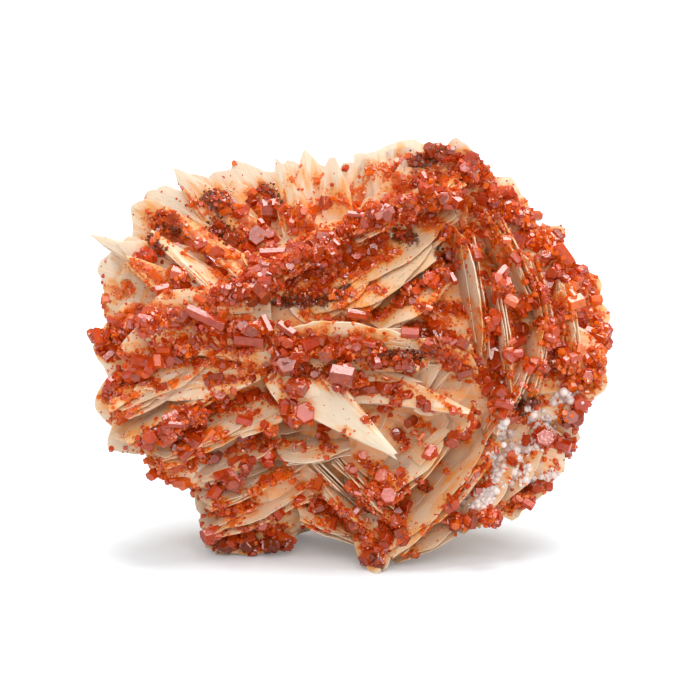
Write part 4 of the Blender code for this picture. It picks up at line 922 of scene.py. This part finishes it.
# The large ones, set as in the solids, and the small ones that cluster about each.
LEAN_OUT = 0.5                  # towards the side that a band is seen from, against the surface's own way
TILT = 0.35                     # scatter of their axes
STUBBY = (1.2, 2.2)             # length against radius
STAND = 0.28                    # share of the length from the surface to the middle
LARGE_TONE = (0.45, 0.95)
LONE_SHARE, BAND_SHARE, LENGTH_SHARE = (0.7, 0.85), (0.42, 0.72), 0.95      # against the solid crystal
ABOUT, ABOUT_ASIDE, ABOUT_SIZE, ABOUT_LIFT = 6, (0.35, 0.75), (0.2, 0.45), (-0.4, 0.25)
ABOUT_STRAY, ABOUT_LENGTH, ABOUT_PALER = 0.6, (1.0, 3.2), 0.1

# The crusts.
ASIDE, ASIDE_MOST = 0.5, 1.3    # spread to either side, against the reach
MIDDLE_SIZE, SMALLER_ASIDE, PALER_ASIDE = 1.15, 0.3, 0.35       # how they change towards the edge
MOSTLY_SMALL, MOSTLY_SHORT = 1.8, 1.6   # powers that favour the least of a range
SHORTEST, LONGER = 1.0, 2.6     # least length against the radius, and how much longer some are
OUT_OF_BARITE, OUT_OF_FACE, CRUST_TILT, CRUST_STAND = 0.7, 0.3, 0.7, 0.15   # which way they point
CRUST_PALER, TONE_BY_SIZE, USUAL_SIZE, TONE_SPREAD = 0.06, 0.5, 0.5, 0.2    # larger ones are redder
BROWN_FROM, BROWNER, BROWN_OFFSET = 0.92, 2, 1.2        # only the deepest crusts have brown in them
GLEAMING, GLEAMING_FROM, GLEAMING_SIZE = 0.16, 0.45, 0.8        # share that mirror the light

# Crystals that stand out, and the grains at their feet.
END_ON = np.array([0.1, 0.25, 1.0])     # the axis of one that is seen end on
LYING = 0.15                    # how far one that lies down is lifted, against its radius
FOOT_RATE, FOOT_SIZE, FOOT_LENGTH, FOOT_PALER = 7, (0.2, 0.45), (1, 3), 0.2
FOOT_FLAT, FOOT_APART = (1, 1, 0.5), 0.3

# Small crystals strewn in patches over a whole side.
PATCH_WAVE, PATCH_CHANCE = 0.28, (-1.5, 2.5)
STREWN_TILT, STREWN_STAND, STREWN_LENGTH, STREWN_TONES = 0.5, 0.3, (0.8, 2.0), 0.15


def crystal_template(rings):
    """The walls between the rings of a six-sided crystal, and its ends."""
    walls = []
    for ring in range(rings - 1):
        for i in range(6):
            j = (i + 1) % 6
            walls.append((ring * 6 + j, ring * 6 + i, ring * 6 + 6 + i, ring * 6 + 6 + j))
    ends = [tuple(range(6)), tuple(range(rings * 6 - 1, rings * 6 - 7, -1))]
    return np.array(walls), np.array(ends)


def ring_axes(axes):
    """Two unit vectors square to each axis and to each other."""
    helper = np.where(np.abs(axes[:, :1]) < 0.8, (1.0, 0.0, 0.0), (0.0, 1.0, 0.0))
    right = np.cross(axes, helper)
    right /= np.linalg.norm(right, axis=1)[:, None]
    return right, np.cross(axes, right)


def add_alike(growth, rows, bevelled):
    """Crystals that all have bevelled ends, or all have plain ones."""
    if not rows:
        return
    centres, axes, sizes, paints = [np.array(column) for column in zip(*rows)]
    radius, length, spin = sizes.T
    right, up = ring_axes(axes)
    angle = spin[:, None] + RING
    stretch = 1 + FLATTENED * np.sin(spin * 37)[:, None]
    flat = (np.cos(angle) * stretch)[..., None] * right[:, None] + np.sin(angle)[..., None] * up[:, None]
    cut = np.minimum(BEVEL_SHARE * radius, BEVEL_MOST)
    levels = [(length / 2, radius - cut), (length / 2 - cut, radius)] if bevelled else [(length / 2, radius)]
    levels += [(-level, wide) for level, wide in levels[::-1]]
    rings = [centres[:, None] + axes[:, None] * level[:, None, None] + flat * wide[:, None, None]
             for level, wide in levels]
    corners = np.concatenate(rings, axis=1)
    count = corners.shape[1]
    starts = (np.arange(len(rows)) * count)[:, None, None]
    faces = [(group[None] + starts).reshape(-1, group.shape[1]) for group in crystal_template(len(levels))]
    growth.add(corners.reshape(-1, 3), faces, np.repeat(paints, count, axis=0))


def add_crystals(growth, rows):
    """Six-sided crystals: each row is its centre, its axis, its radius, length and spin, and its paint."""
    for bevelled in (True, False):
        add_alike(growth, [row for row in rows if (row[2][0] > BEVELLED) == bevelled], bevelled)


def crystal_row(centre, axis, radius, length, tone, brown=0.0):
    """One crystal of add_crystals, with its own spin and its own chance in the paint."""
    spin = dice.uniform(0, math.pi)
    return centre, unit(axis), (radius, length, spin), (tone, dice.uniform(), dice.uniform(), brown)


def gleaming_row(centre, angle, radius, length, tone):
    """A prism that lies at some angle in the face, with a side turned to mirror the light."""
    axis = np.array([math.cos(math.radians(angle)), math.sin(math.radians(angle)), 0])
    mirror = unit(GLEAM + dice.normal(0, GLEAM_STRAY, 3))
    axis = unit(axis - axis @ mirror * mirror)
    right, up = ring_axes(axis[None])
    spin = math.atan2(mirror @ up[0], mirror @ right[0]) - math.pi / 6
    return centre, axis, (radius, length, spin), (tone, dice.uniform(), dice.uniform(0, 0.4), 0)


def landings(surface, name, side, line, count, spread):
    """Spots along a band where a large crystal grows, as in the solids."""
    for i in range(count):
        chance = random.Random(f"{name} {i}")
        spot = Vector(side_spot(side, *along_line(line, (i + chance.uniform(0.2, 0.8)) / count)))
        spot += Vector([chance.gauss(0, spread) for _ in range(3)])
        hit, normal, _ = look_from(surface, side, spot)
        if hit is not None:
            yield chance, hit, (normal + SIDES[side] * LEAN_OUT).normalized()


def large_crystals(surface):
    """The large crystals of every band, each a cluster within the solid crystal's reach, by band."""
    for name, side, line, count, radii, spread in BANDS:
        rows = []
        for chance, hit, away in landings(surface, name, side, line, count, spread):
            axis = (away + Vector([chance.gauss(0, TILT) for _ in range(3)])).normalized()
            radius = chance.uniform(*radii)
            length = radius * chance.uniform(*STUBBY)
            centre, axis = np.array(hit + axis * length * STAND), np.array(axis)
            tone = dice.uniform(*LARGE_TONE)
            share = dice.uniform(*(LONE_SHARE if count == 1 else BAND_SHARE))
            rows.append(crystal_row(centre, axis, radius * share, length * LENGTH_SHARE, tone))
            for _ in range(ABOUT):
                aside = unit(np.cross(axis, dice.normal(0, 1, 3))) * radius * dice.uniform(*ABOUT_ASIDE)
                small = radius * dice.uniform(*ABOUT_SIZE)
                lift = axis * length * dice.uniform(*ABOUT_LIFT)
                way = axis + dice.normal(0, ABOUT_STRAY, 3)
                rows.append(crystal_row(centre + aside + lift, way, small,
                                        small * dice.uniform(*ABOUT_LENGTH), tone - ABOUT_PALER))
        yield name, rows


def crust(surface, line, reach, richness, tone, sizes, rate):
    """Crystals scattered over a band of the front, smaller and more orange towards its edges."""
    for _ in range(band_count(line, reach, rate, richness)):
        aside = float(np.clip(dice.normal(0, ASIDE), -ASIDE_MOST, ASIDE_MOST))
        first, second = along_line(line, dice.uniform())
        turn = dice.uniform(0, 2 * math.pi)
        first, second = first + math.cos(turn) * aside * reach, second + math.sin(turn) * aside * reach
        hit, normal, _ = look_from(surface, "front", side_spot("front", first, second))
        if hit is None:
            continue
        radius = sizes[0] + (sizes[1] - sizes[0]) * dice.uniform() ** MOSTLY_SMALL
        radius *= MIDDLE_SIZE - SMALLER_ASIDE * abs(aside)
        length = radius * (SHORTEST + LONGER * dice.uniform() ** MOSTLY_SHORT)
        axis = unit(np.array(normal) * OUT_OF_BARITE + np.array(SIDES["front"]) * OUT_OF_FACE
                    + dice.normal(0, CRUST_TILT, 3))
        centre = np.array(hit) + axis * length * CRUST_STAND
        shade = tone - CRUST_PALER - PALER_ASIDE * abs(aside) + TONE_BY_SIZE * (radius - USUAL_SIZE)
        shade += dice.normal(0, TONE_SPREAD)
        if radius > GLEAMING_FROM and dice.uniform() < GLEAMING:
            yield gleaming_row(centre, dice.uniform(0, 180), radius * GLEAMING_SIZE, length, tone)
            continue
        brown = max(0, BROWNER * tone - BROWN_OFFSET) if tone > BROWN_FROM else 0
        yield crystal_row(centre, axis, radius, length, float(np.clip(shade, 0, 1)), brown * dice.uniform())


def single_crystals(surface, singles):
    """The crystals that stand out, one for each row of the table, and grains at their feet."""
    for x, v, radius, length, angle, tone in singles:
        hit = look_from(surface, "front", (x, v, 0))[0]
        if hit is None:
            continue
        hit = np.array(hit)
        if angle is None:
            yield crystal_row(hit, END_ON, radius, length, tone)
        else:
            yield gleaming_row(hit + GLEAM * radius * LYING, angle, radius, length, tone)
        for _ in range(int(radius * FOOT_RATE)):
            aside = dice.normal(0, 1, 3) * FOOT_FLAT
            small = dice.uniform(*FOOT_SIZE)
            centre = hit + unit(aside) * (radius + small * FOOT_APART)
            yield crystal_row(centre, dice.normal(0, 1, 3), small, small * dice.uniform(*FOOT_LENGTH),
                              tone - FOOT_PALER)


def scatter(surface, side, spread, count, sizes, tone):
    """Small crystals strewn over a whole side, in patches where three slow waves add up."""
    ways = dice.normal(0, PATCH_WAVE, (3, 2))
    for _ in range(count):
        pair = [dice.uniform(*reach) for reach in spread]
        patch = sum(math.sin(way @ pair + k) for k, way in enumerate(ways))
        if patch < dice.uniform(*PATCH_CHANCE):
            continue
        hit, normal, _ = look_from(surface, side, side_spot(side, *pair))
        if hit is None:
            continue
        radius = dice.uniform(*sizes)
        axis = unit(np.array(normal) + dice.normal(0, STREWN_TILT, 3))
        centre = np.array(hit) + axis * radius * STREWN_STAND
        yield crystal_row(centre, axis, radius, radius * dice.uniform(*STREWN_LENGTH),
                          float(np.clip(tone + dice.normal(0, STREWN_TONES), 0, 1)))


# Beads and grains.
BEAD_RATE, BEAD_SPREAD, BEAD_STAND = 4.2, 0.6, 0.35
BEAD_SIZE, BEAD_LARGER, BEADS_MOSTLY_SMALL = 0.24, 0.5, 2.2
ROUNDER_FROM = 0.4              # beads of a larger radius than this are cut finer
BEAD_CUTS, LARGE_BEAD_CUTS, GRAIN_CUTS = 2, 3, 1
GRAIN_SPREAD, GRAIN_STAND = 0.55, 0.05
OXIDE_RATE, OXIDE_SIZES, OXIDE_ROUGH = 1.6, (0.1, 0.28), 0.3
DRUSE_RATE, DRUSE_SIZES, DRUSE_TILT, DRUSE_LENGTH = 10.0, (0.1, 0.3), 0.5, (1, 2)
DRUSE_TONE, DRUSE_BROWN = (0.2, 0.8), (0.4, 1.0)


def add_balls(growth, places, radii, cuts, roughness=0.0):
    """Round beads or grains, each with its own chance in the paint."""
    corners, faces = ball(cuts)
    count = len(corners)
    rough = 1 + roughness * dice.uniform(-1, 1, (len(places), count, 1))
    spots = np.array(places)[:, None] + corners * np.array(radii)[:, None, None] * rough
    starts = (np.arange(len(places)) * count)[:, None, None]
    paint = np.zeros((len(places), 4))
    paint[:, 1] = dice.uniform(0, 1, len(places))
    growth.add(spots.reshape(-1, 3), [(faces[None] + starts).reshape(-1, 3)],
               np.repeat(paint, count, axis=0), smooth=roughness == 0)


def bead_places(surface):
    """Middles and radii of the beads."""
    for line, reach, richness in BEAD_RUNS:
        for hit, normal in band_hits(surface, line, reach, BEAD_RATE, BEAD_SPREAD, richness):
            radius = BEAD_SIZE + BEAD_LARGER * dice.uniform() ** BEADS_MOSTLY_SMALL
            yield np.array(hit + (normal + SIDES["front"]) * radius * BEAD_STAND), radius


def hollow_grains(surface, rate, sizes):
    """Places, ways out and radii of small grains in the hollows."""
    for line, reach in HOLLOWS:
        for hit, normal in band_hits(surface, line, reach, rate, GRAIN_SPREAD):
            normal = np.array(normal)
            yield np.array(hit) + normal * GRAIN_STAND, normal, dice.uniform(*sizes)


# Finishes. Colours are linear.

def feed(tree, socket, value):
    """Sets a socket to a value or a colour, or links another node's output to it."""
    if isinstance(value, bpy.types.NodeSocket):
        tree.links.new(value, socket)
    else:
        socket.default_value = (*value, 1) if socket.type == "RGBA" else value


def add_node(tree, kind, inputs=(), **settings):
    """A shader node with its settings and its inputs."""
    made = tree.nodes.new("ShaderNode" + kind)
    for name, value in settings.items():
        setattr(made, name, value)
    for name, value in dict(inputs).items():
        feed(tree, made.inputs[name], value)
    return made


def blend_colours(tree, mask, first, second):
    """A colour between two, by a mask."""
    return add_node(tree, "Mix", {0: mask, 6: first, 7: second}, data_type="RGBA").outputs[2]


def calculate(tree, operation, *values, clamp=False):
    """What a Math node makes of some values."""
    return add_node(tree, "Math", enumerate(values), operation=operation, use_clamp=clamp).outputs[0]


def noise(tree, place, scale, detail, **more):
    """A noise over the surface."""
    inputs = {"Vector": place, "Scale": scale, "Detail": detail, **more}
    return add_node(tree, "TexNoise", inputs).outputs["Fac"]


def stretched(tree, place, scale):
    return add_node(tree, "Mapping", {"Vector": place, "Scale": scale}).outputs[0]


def spread_out(tree, value, **ends):
    """A value of 0 to 1 mapped to other ends."""
    inputs = {name.replace("_", " "): end for name, end in ends.items()}
    return add_node(tree, "MapRange", {"Value": value, **inputs}).outputs[0]


def patches_group():
    """Irregular patches: where a noise of some size, helped by a bias, passes its middle."""
    group = bpy.data.node_groups.new("mineral patches", "ShaderNodeTree")
    for name in ("Place", "Fineness", "Bias", "Crispness"):
        kind = "NodeSocketVector" if name == "Place" else "NodeSocketFloat"
        group.interface.new_socket(name, in_out="INPUT", socket_type=kind)
    group.interface.new_socket("Mask", in_out="OUTPUT", socket_type="NodeSocketFloat")
    given = group.nodes.new("NodeGroupInput").outputs
    spots = noise(group, given["Place"], given["Fineness"], 4, Roughness=0.6)
    lifted = calculate(group, "ADD", spots, given["Bias"])
    centred = calculate(group, "SUBTRACT", lifted, 0.5)
    sharp = calculate(group, "MULTIPLY", centred, given["Crispness"])
    mask = calculate(group, "ADD", sharp, 0.5, clamp=True)
    feed(group, group.nodes.new("NodeGroupOutput").inputs["Mask"], mask)
    return group


def patches(tree, group, place, fineness, bias, crispness):
    """The mask of the group of patches."""
    made = tree.nodes.new("ShaderNodeGroup")
    made.node_tree = group
    for name, value in (("Place", place), ("Fineness", fineness), ("Bias", bias), ("Crispness", crispness)):
        feed(tree, made.inputs[name], value)
    return made.outputs["Mask"]


def start_material(name, **values):
    """A material, its node tree, its shader, and the paint and grain of the surface."""
    material = bpy.data.materials.new(name)
    material.use_nodes = True
    tree = material.node_tree
    shader = tree.nodes["Principled BSDF"]
    for socket, value in values.items():
        shader.inputs[socket.replace("_", " ")].default_value = value
    paint = add_node(tree, "Attribute", attribute_name="paint")
    parts = add_node(tree, "SeparateColor", {"Color": paint.outputs["Color"]})
    grain = add_node(tree, "Attribute", attribute_name="grain")
    return material, tree, shader, (*parts.outputs[:3], paint.outputs["Alpha"]), grain.outputs["Vector"]


def finish_surface(tree, shader, colour, height, strength, depth):
    """The colour of a surface, and a bump of some depth in millimetres."""
    feed(tree, shader.inputs["Base Color"], colour)
    bump = add_node(tree, "Bump", {"Height": height, "Strength": strength, "Distance": depth * MM})
    feed(tree, shader.inputs["Normal"], bump.outputs[0])


def barite_finish(group):
    """Cream barite, satin: whiter at thin tips and, as painted light, on the fan; orange near crystals;
    painted shade, dark brown in hollows.
    """
    material, tree, shader, (pale_and_backlit, stain, edge, shade), grain = start_material(
        "barite", IOR=1.64, Subsurface_Weight=0.35, Subsurface_Radius=(1.0, 0.75, 0.6),
        Subsurface_Scale=1.0 * MM)
    streaks = noise(tree, stretched(tree, grain, (0.1, 3.2, 1)), 1.0, 5, Roughness=0.7)
    drawn = stretched(tree, grain, (0.3, 1.0, 1))
    cream = blend_colours(tree, noise(tree, grain, 0.35, 3), (0.84, 0.60, 0.51), (0.91, 0.75, 0.70))
    # painted shade: the shade paint darkens recessed blades and the core's gaps with a tan, besides each
    # plate's own tone
    tan_and_shade = calculate(tree, "MULTIPLY", shade, 0.72, clamp=True)
    cream = blend_colours(tree, tan_and_shade, cream, (0.64, 0.46, 0.395))
    lines = calculate(tree, "MULTIPLY_ADD", streaks, 3.2, -1.45, clamp=True)
    cream = blend_colours(tree, calculate(tree, "MULTIPLY", lines, 0.4), cream, (0.58, 0.38, 0.305))
    # partly painted light: the pale paint whitens thin tips, and the fan most, where light shines through it
    cream = blend_colours(tree, calculate(tree, "MULTIPLY", pale_and_backlit, 0.8), cream, (1.0, 0.92, 0.88))
    worn = calculate(tree, "MULTIPLY_ADD", edge, 0.24, calculate(tree, "MULTIPLY_ADD", pale_and_backlit, -0.14, 0.49))
    yellow = calculate(tree, "MULTIPLY", patches(tree, group, drawn, 0.55, worn, 6.0), 0.45)
    cream = blend_colours(tree, yellow, cream, (1.0, 0.62, 0.24))
    broad = patches(tree, group, drawn, 0.9, calculate(tree, "SUBTRACT", stain, 0.30), 3.0)
    orange = blend_colours(tree, calculate(tree, "MULTIPLY", broad, 0.85), cream, (1.0, 0.36, 0.035))
    fine = patches(tree, group, grain, 2.1, calculate(tree, "SUBTRACT", stain, 0.50), 8.0)
    spotted = blend_colours(tree, fine, orange, (0.74, 0.14, 0.015))
    # painted shade: the hollows between the blades turn dark brown
    dark = calculate(tree, "SUBTRACT", shade, 1.0, clamp=True)
    hollow_shade_mask = patches(tree, group, grain, 1.6, calculate(tree, "SUBTRACT", dark, 0.35), 3.0)
    hollow_shaded = blend_colours(tree, hollow_shade_mask, spotted, (0.16, 0.055, 0.018))
    feed(tree, shader.inputs["Roughness"], spread_out(tree, streaks, To_Min=0.34, To_Max=0.62))
    finish_surface(tree, shader, hollow_shaded, streaks, 0.6, 0.3)
    return material


def vanadinite_finish(group):
    """Glossy vanadinite: orange in small crystals, deep red in large ones, brown in the hollows."""
    material, tree, shader, (tone, chance, other, brown), grain = start_material(
        "vanadinite", IOR=1.78, Subsurface_Weight=0.35, Subsurface_Radius=(1.0, 0.12, 0.03),
        Subsurface_Scale=0.7 * MM)
    ripe = calculate(tree, "MULTIPLY", tone, 2.0, clamp=True)
    red = blend_colours(tree, ripe, (0.88, 0.15, 0.004), (0.47, 0.015, 0.001))
    deep = calculate(tree, "MULTIPLY_ADD", tone, 2.0, -1.0, clamp=True)
    red = blend_colours(tree, deep, red, (0.18, 0.004, 0.001))
    veils = patches(tree, group, grain, 1.1, calculate(tree, "MULTIPLY", chance, 0.12), 2.2)
    red = blend_colours(tree, calculate(tree, "MULTIPLY", veils, 0.35), red, (0.95, 0.16, 0.004))
    red = blend_colours(tree, brown, red, (0.13, 0.026, 0.005))
    feed(tree, shader.inputs["Roughness"], spread_out(tree, other, To_Min=0.02, To_Max=0.14))
    finish_surface(tree, shader, red, noise(tree, grain, 2.2, 3), 0.4, 0.12)
    return material


def calcite_finish(group):
    """Waxy white beads with a flush of pink."""
    material, tree, shader, (_, chance, _, _), grain = start_material(
        "calcite", Roughness=0.35, IOR=1.6, Subsurface_Weight=0.5, Subsurface_Radius=(1.0, 0.8, 0.7),
        Subsurface_Scale=0.6 * MM)
    flush = patches(tree, group, grain, 0.8, calculate(tree, "MULTIPLY", chance, 0.25), 2.0)
    flush = calculate(tree, "MULTIPLY", flush, 0.5)
    white = blend_colours(tree, flush, (1.0, 0.89, 0.83), (0.92, 0.55, 0.46))
    finish_surface(tree, shader, white, noise(tree, grain, 4.0, 2), 0.25, 0.1)
    return material


def oxide_finish(group):
    """Dark brown to black grains of oxide."""
    material, tree, shader, (_, chance, _, _), grain = start_material("oxide", Roughness=0.5, IOR=1.5)
    mottled = patches(tree, group, grain, 2.0, calculate(tree, "MULTIPLY", chance, 0.3), 3.0)
    dark = blend_colours(tree, mottled, (0.010, 0.006, 0.004), (0.14, 0.040, 0.012))
    feed(tree, shader.inputs["Base Color"], dark)
    return material


# The paint of the barite.
STAINING = 0.2                  # crystals of a larger radius than this stain the barite
STAIN_REACH = 0.8               # how far the orange stain spreads from them
STAIN_HEIGHTS, STAIN_STRENGTHS = (24, 40), (0.74, 1.0)      # and how it weakens down the face
FLUSH_DEPTH, HOLLOW_DEPTH = -8, -4      # flushes and hollows reach no further back than this
HOLLOW_EDGE, HOLLOW_DARK = 1.3, 2


def line_gap(spots, line):
    """How far each spot (x and v) is from a line of points."""
    gaps = []
    for start, end in zip(line, line[1:]):
        way = np.subtract(end, start)
        share = np.clip((spots - start) @ way / (way @ way), 0, 1)
        gaps.append(np.linalg.norm(spots - start - share[:, None] * way, axis=1))
    return np.min(gaps, axis=0)


def stains(growth, crystals):
    """The barite's paint: stained the more the nearer it is to the crystals, and dark brown in the hollows as
    painted shade.
    """
    paint = np.concatenate(growth.paint)
    corners = np.concatenate(growth.corners)
    spots = [row[0] for row in crystals if row[2][0] > STAINING]
    tree = KDTree(len(spots))
    for i, spot in enumerate(spots):
        tree.insert(spot, i)
    tree.balance()
    near = np.array([tree.find(corner)[2] for corner in corners])
    strength = np.interp(corners[:, 1], STAIN_HEIGHTS, STAIN_STRENGTHS)
    paint[:, 1] = np.maximum(paint[:, 1], strength * np.exp(-near / STAIN_REACH))
    face, depth = corners[:, :2], corners[:, 2]
    for line, reach, strength in FLUSHES:
        flush = strength * np.exp(-(line_gap(face, line) / reach) ** 2) * (depth > FLUSH_DEPTH)
        paint[:, 1] = np.maximum(paint[:, 1], flush)
    # painted shade in the hollows, kept to the front
    for line, reach in HOLLOWS:
        dark = np.clip(HOLLOW_EDGE - line_gap(face, line) / reach, 0, 1) * (depth > HOLLOW_DEPTH)
        paint[:, 3] = np.maximum(paint[:, 3], dark * HOLLOW_DARK)
    return paint


# The specimen. Spreads are the least and the most of a side's two numbers.
FACE, MIDDLE = ((-38, 38), (3, 62)), ((-12, 24), (6, 36))
FLANK, WHOLE_FLANK, CROWN = ((-22, 12), (8, 60)), ((-22, 12), (6, 60)), ((-34, 34), (-20, 12))
SPLINTERS = [
    ("front", FACE, 680), ("front", MIDDLE, 260), ("back", FACE, 1000), ("left", FLANK, 170),
    ("right", FLANK, 170), ("top", CROWN, 170),
]
# Small crystals strewn over the sides: side, spread, how many are tried, tone.
STREWN = [
    ("back", FACE, 3400, 0.35), ("left", WHOLE_FLANK, 1400, 0.4), ("right", WHOLE_FLANK, 1400, 0.4),
    ("top", CROWN, 1400, 0.4), ("under", CROWN, 900, 0.4),
]
STREWN_SIZES = (0.12, 0.5)
FINE_DRUSE = (2200, (0.08, 0.2), 0.05)      # how many are tried on the front, their sizes, tone
# The layers of a crust: reach and tone against the table's, sizes, rate.
MAIN_CRUST = (0.9, 0, (0.32, 1.0), 0.4)
SMALL_CRUSTS = [(1, 0, (0.15, 0.42), 2.9), (1.35, -0.4, (0.08, 0.2), 1.7)]


def solid_nodes(*starts):
    return [name for name in sorted(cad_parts) if name.startswith(starts)]


def grow_barite(skin):
    """The blades, the splinters between them and the core, by the names of their pieces."""
    blades, owners = Growth(), []
    for blade in all_blades():
        before = len(blades.faces)
        axes = add_blade(blades, *blade)
        owners += [(blade[0], axes)] * sum(len(group) for group, _ in blades.faces[before:])
    core = Growth()
    add_lobes(core)
    surface, ground = blades.surface(), together(blades, core)
    splinters = Growth()
    for side, spread, count in SPLINTERS:
        add_splinters(splinters, skin, ground, surface, owners, side, spread, count)
    return {"barite_blades": blades, "barite_splinters": splinters, "barite_core": core}


def grow_crusts(ground, name, rows, small):
    """The crusts of one piece: their larger crystals join its rows, the rest its small ones."""
    share, deeper_and_shaded = RICHNESS[name]
    for line, reach, richness, tone in CRUSTS[name]:
        layers = [(rows, MAIN_CRUST)] + [(small, layer) for layer in SMALL_CRUSTS]
        for gathered, (wider, redder, sizes, rate) in layers:
            gathered += crust(ground, line, reach * wider, richness * share,
                              # the deeper tone of the lower pieces is partly painted shade
                              min(1, tone + deeper_and_shaded) + redder, sizes, rate)


def build_crystals(skin, barite, red):
    """The crystals of every piece. Gives the ground that small things grow on, and the crystals."""
    rows = {name: [] for name in GROUPS}
    for band, found in large_crystals(skin):
        rows[next(name for name, starts in GROUPS.items() if band.startswith(starts))] += found
    large = Growth()
    for found in rows.values():
        add_crystals(large, found)
    ground = together(*barite, large)
    small = {name: [] for name in GROUPS}
    for name in CRUSTS:
        grow_crusts(ground, name, rows[name], small[name])
    druse = list(scatter(ground, "front", FACE, *FINE_DRUSE))
    rear = [row for side, spread, count, tone in STREWN
            for row in scatter(ground, side, spread, count, STREWN_SIZES, tone)]
    for name, singles in SINGLES.items():
        rows[name] += single_crystals(ground, singles)
    for name, starts in GROUPS.items():
        crystals = Growth()
        add_crystals(crystals, rows[name] + small[name] + (rear if name == "back_crystals" else []))
        crystals.piece(name, red, "vanadinite", solid_nodes(*("vanadinite_" + start for start in starts)))
    for place, away, radius in hollow_grains(ground, DRUSE_RATE, DRUSE_SIZES):
        druse.append(crystal_row(
            place, away + dice.normal(0, DRUSE_TILT, 3), radius, radius * dice.uniform(*DRUSE_LENGTH),
            dice.uniform(*DRUSE_TONE), dice.uniform(*DRUSE_BROWN)))
    fine = Growth()
    add_crystals(fine, druse)
    fine.piece("druse_crystals", red, "vanadinite")
    return ground, [row for name in GROUPS for row in rows[name] + small[name]]


def build_beads(ground, white):
    """The calcite beads, the larger ones rounder."""
    beads, pearls = Growth(), list(bead_places(ground))
    for cuts, larger in ((LARGE_BEAD_CUTS, True), (BEAD_CUTS, False)):
        add_balls(beads, *zip(*(pearl for pearl in pearls if (pearl[1] > ROUNDER_FROM) == larger)), cuts)
    beads.piece("calcite_beads", white, "calcite", solid_nodes("calcite"))


def build_oxide(ground, dark):
    """Dark grains in the hollows."""
    grains = Growth()
    places, _, radii = zip(*hollow_grains(ground, OXIDE_RATE, OXIDE_SIZES))
    add_balls(grains, places, radii, GRAIN_CUTS, OXIDE_ROUGH)
    grains.piece("oxide_grains", dark, "vanadinite")


def build_specimen():
    group = patches_group()
    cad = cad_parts["barite_matrix"].data
    skin = BVHTree.FromPolygons(
        unstood([v.co for v in cad.vertices]).tolist(), [tuple(p.vertices) for p in cad.polygons])
    barite = grow_barite(skin)
    ground, crystals = build_crystals(skin, barite.values(), vanadinite_finish(group))
    build_beads(ground, calcite_finish(group))
    build_oxide(ground, oxide_finish(group))
    cream = barite_finish(group)
    for name, part in barite.items():
        part.piece(name, cream, "barite", ["barite_matrix"], stains(part, crystals))


# The stage.
PIXEL = 0.151                   # mm of the specimen for each pixel of the square frame
FRAME_PIXELS = 700
CENTRE = (-0.302, 33.22, 0)     # the layout point in the middle of the frame
DISTANCE = 0.6
ELEVATION = math.radians(12)
SENSOR = 36
FLOOR = 6.0                     # half its size, in metres
FLOOR_LIT, FLOOR_SEEN, FLOOR_GLOW = (0.62, 0.64, 0.65), (0.91, 0.97, 1.0), 0.14
ROOM_LOW, ROOM_HIGH, ROOM_TOP = 0.08, 0.6, 0.75     # brightness at eye level, and from a height up
# Lights: the way that each comes from, spread in degrees, power.
LIGHTS = {
    "overhead softbox": ((0.08, 0.10, 0.74), 38, 2.15),
    "front fill": ((0.10, -0.8, 0.36), 50, 1.12),
    "left lamp": ((-0.35, -0.8, 0.8), 7, 0.12),
    "right lamp": ((0.35, -0.8, 0.7), 7, 0.12),
    "front lamp": ((0.0, -0.9, 0.45), 7, 0.12),
    "far left lamp": ((-0.6, -0.4, 1.0), 7, 0.12),
    "far right lamp": ((0.6, -0.35, 1.0), 7, 0.12),
    "upper lamp": ((0.1, -0.55, 0.95), 7, 0.12),
}


def aim(thing, place, target):
    thing.location = place
    thing.rotation_mode = "QUATERNION"
    thing.rotation_quaternion = (Vector(target) - Vector(place)).to_track_quat("-Z", "Y")


def add_camera():
    data = bpy.data.cameras.new("camera")
    data.sensor_width = SENSOR
    data.lens = SENSOR * DISTANCE / (FRAME_PIXELS * PIXEL * MM)
    data.clip_start = 0.01
    target = Vector(stood(CENTRE)[0])
    back = Vector((0, -math.cos(ELEVATION), math.sin(ELEVATION))) * DISTANCE
    bpy.context.scene.camera = put("camera", data)
    aim(bpy.context.scene.camera, target + back, target)


def add_floor():
    """A white sweep under the specimen, which glows a little where the camera sees it."""
    data = bpy.data.meshes.new("floor")
    corners = [(-FLOOR, -FLOOR, 0), (FLOOR, -FLOOR, 0), (FLOOR, FLOOR, 0), (-FLOOR, FLOOR, 0)]
    data.from_pydata(corners, [], [(0, 1, 2, 3)])
    material, tree, shader, _, _ = start_material("floor", Roughness=0.8, Emission_Color=(1, 1, 1, 1))
    seen = add_node(tree, "LightPath").outputs["Is Camera Ray"]
    feed(tree, shader.inputs["Base Color"], blend_colours(tree, seen, FLOOR_LIT, FLOOR_SEEN))
    feed(tree, shader.inputs["Emission Strength"], calculate(tree, "MULTIPLY", seen, FLOOR_GLOW))
    data.materials.append(material)
    put("floor", data)


def light_stage():
    """A broad softbox overhead, a fill, small lamps for sparkle, and a room that is darker low down."""
    world = bpy.data.worlds.new("studio")
    world.use_nodes = True
    tree = world.node_tree
    background = tree.nodes["Background"]
    feed(tree, background.inputs["Color"], (1, 1, 1))
    way = add_node(tree, "TexCoord").outputs["Generated"]
    height = add_node(tree, "SeparateXYZ", {"Vector": way}).outputs["Z"]
    glow = spread_out(tree, height, From_Min=0.0, From_Max=ROOM_TOP, To_Min=ROOM_LOW, To_Max=ROOM_HIGH)
    feed(tree, background.inputs["Strength"], glow)
    bpy.context.scene.world = world
    for name, (way, spread, power) in LIGHTS.items():
        data = bpy.data.lights.new(name, "SUN")
        data.energy, data.angle = power, math.radians(spread)
        aim(put(name, data), way, (0, 0, 0))
    bpy.context.scene.view_settings.view_transform = "Standard"


build_specimen()
add_floor()
light_stage()
add_camera()
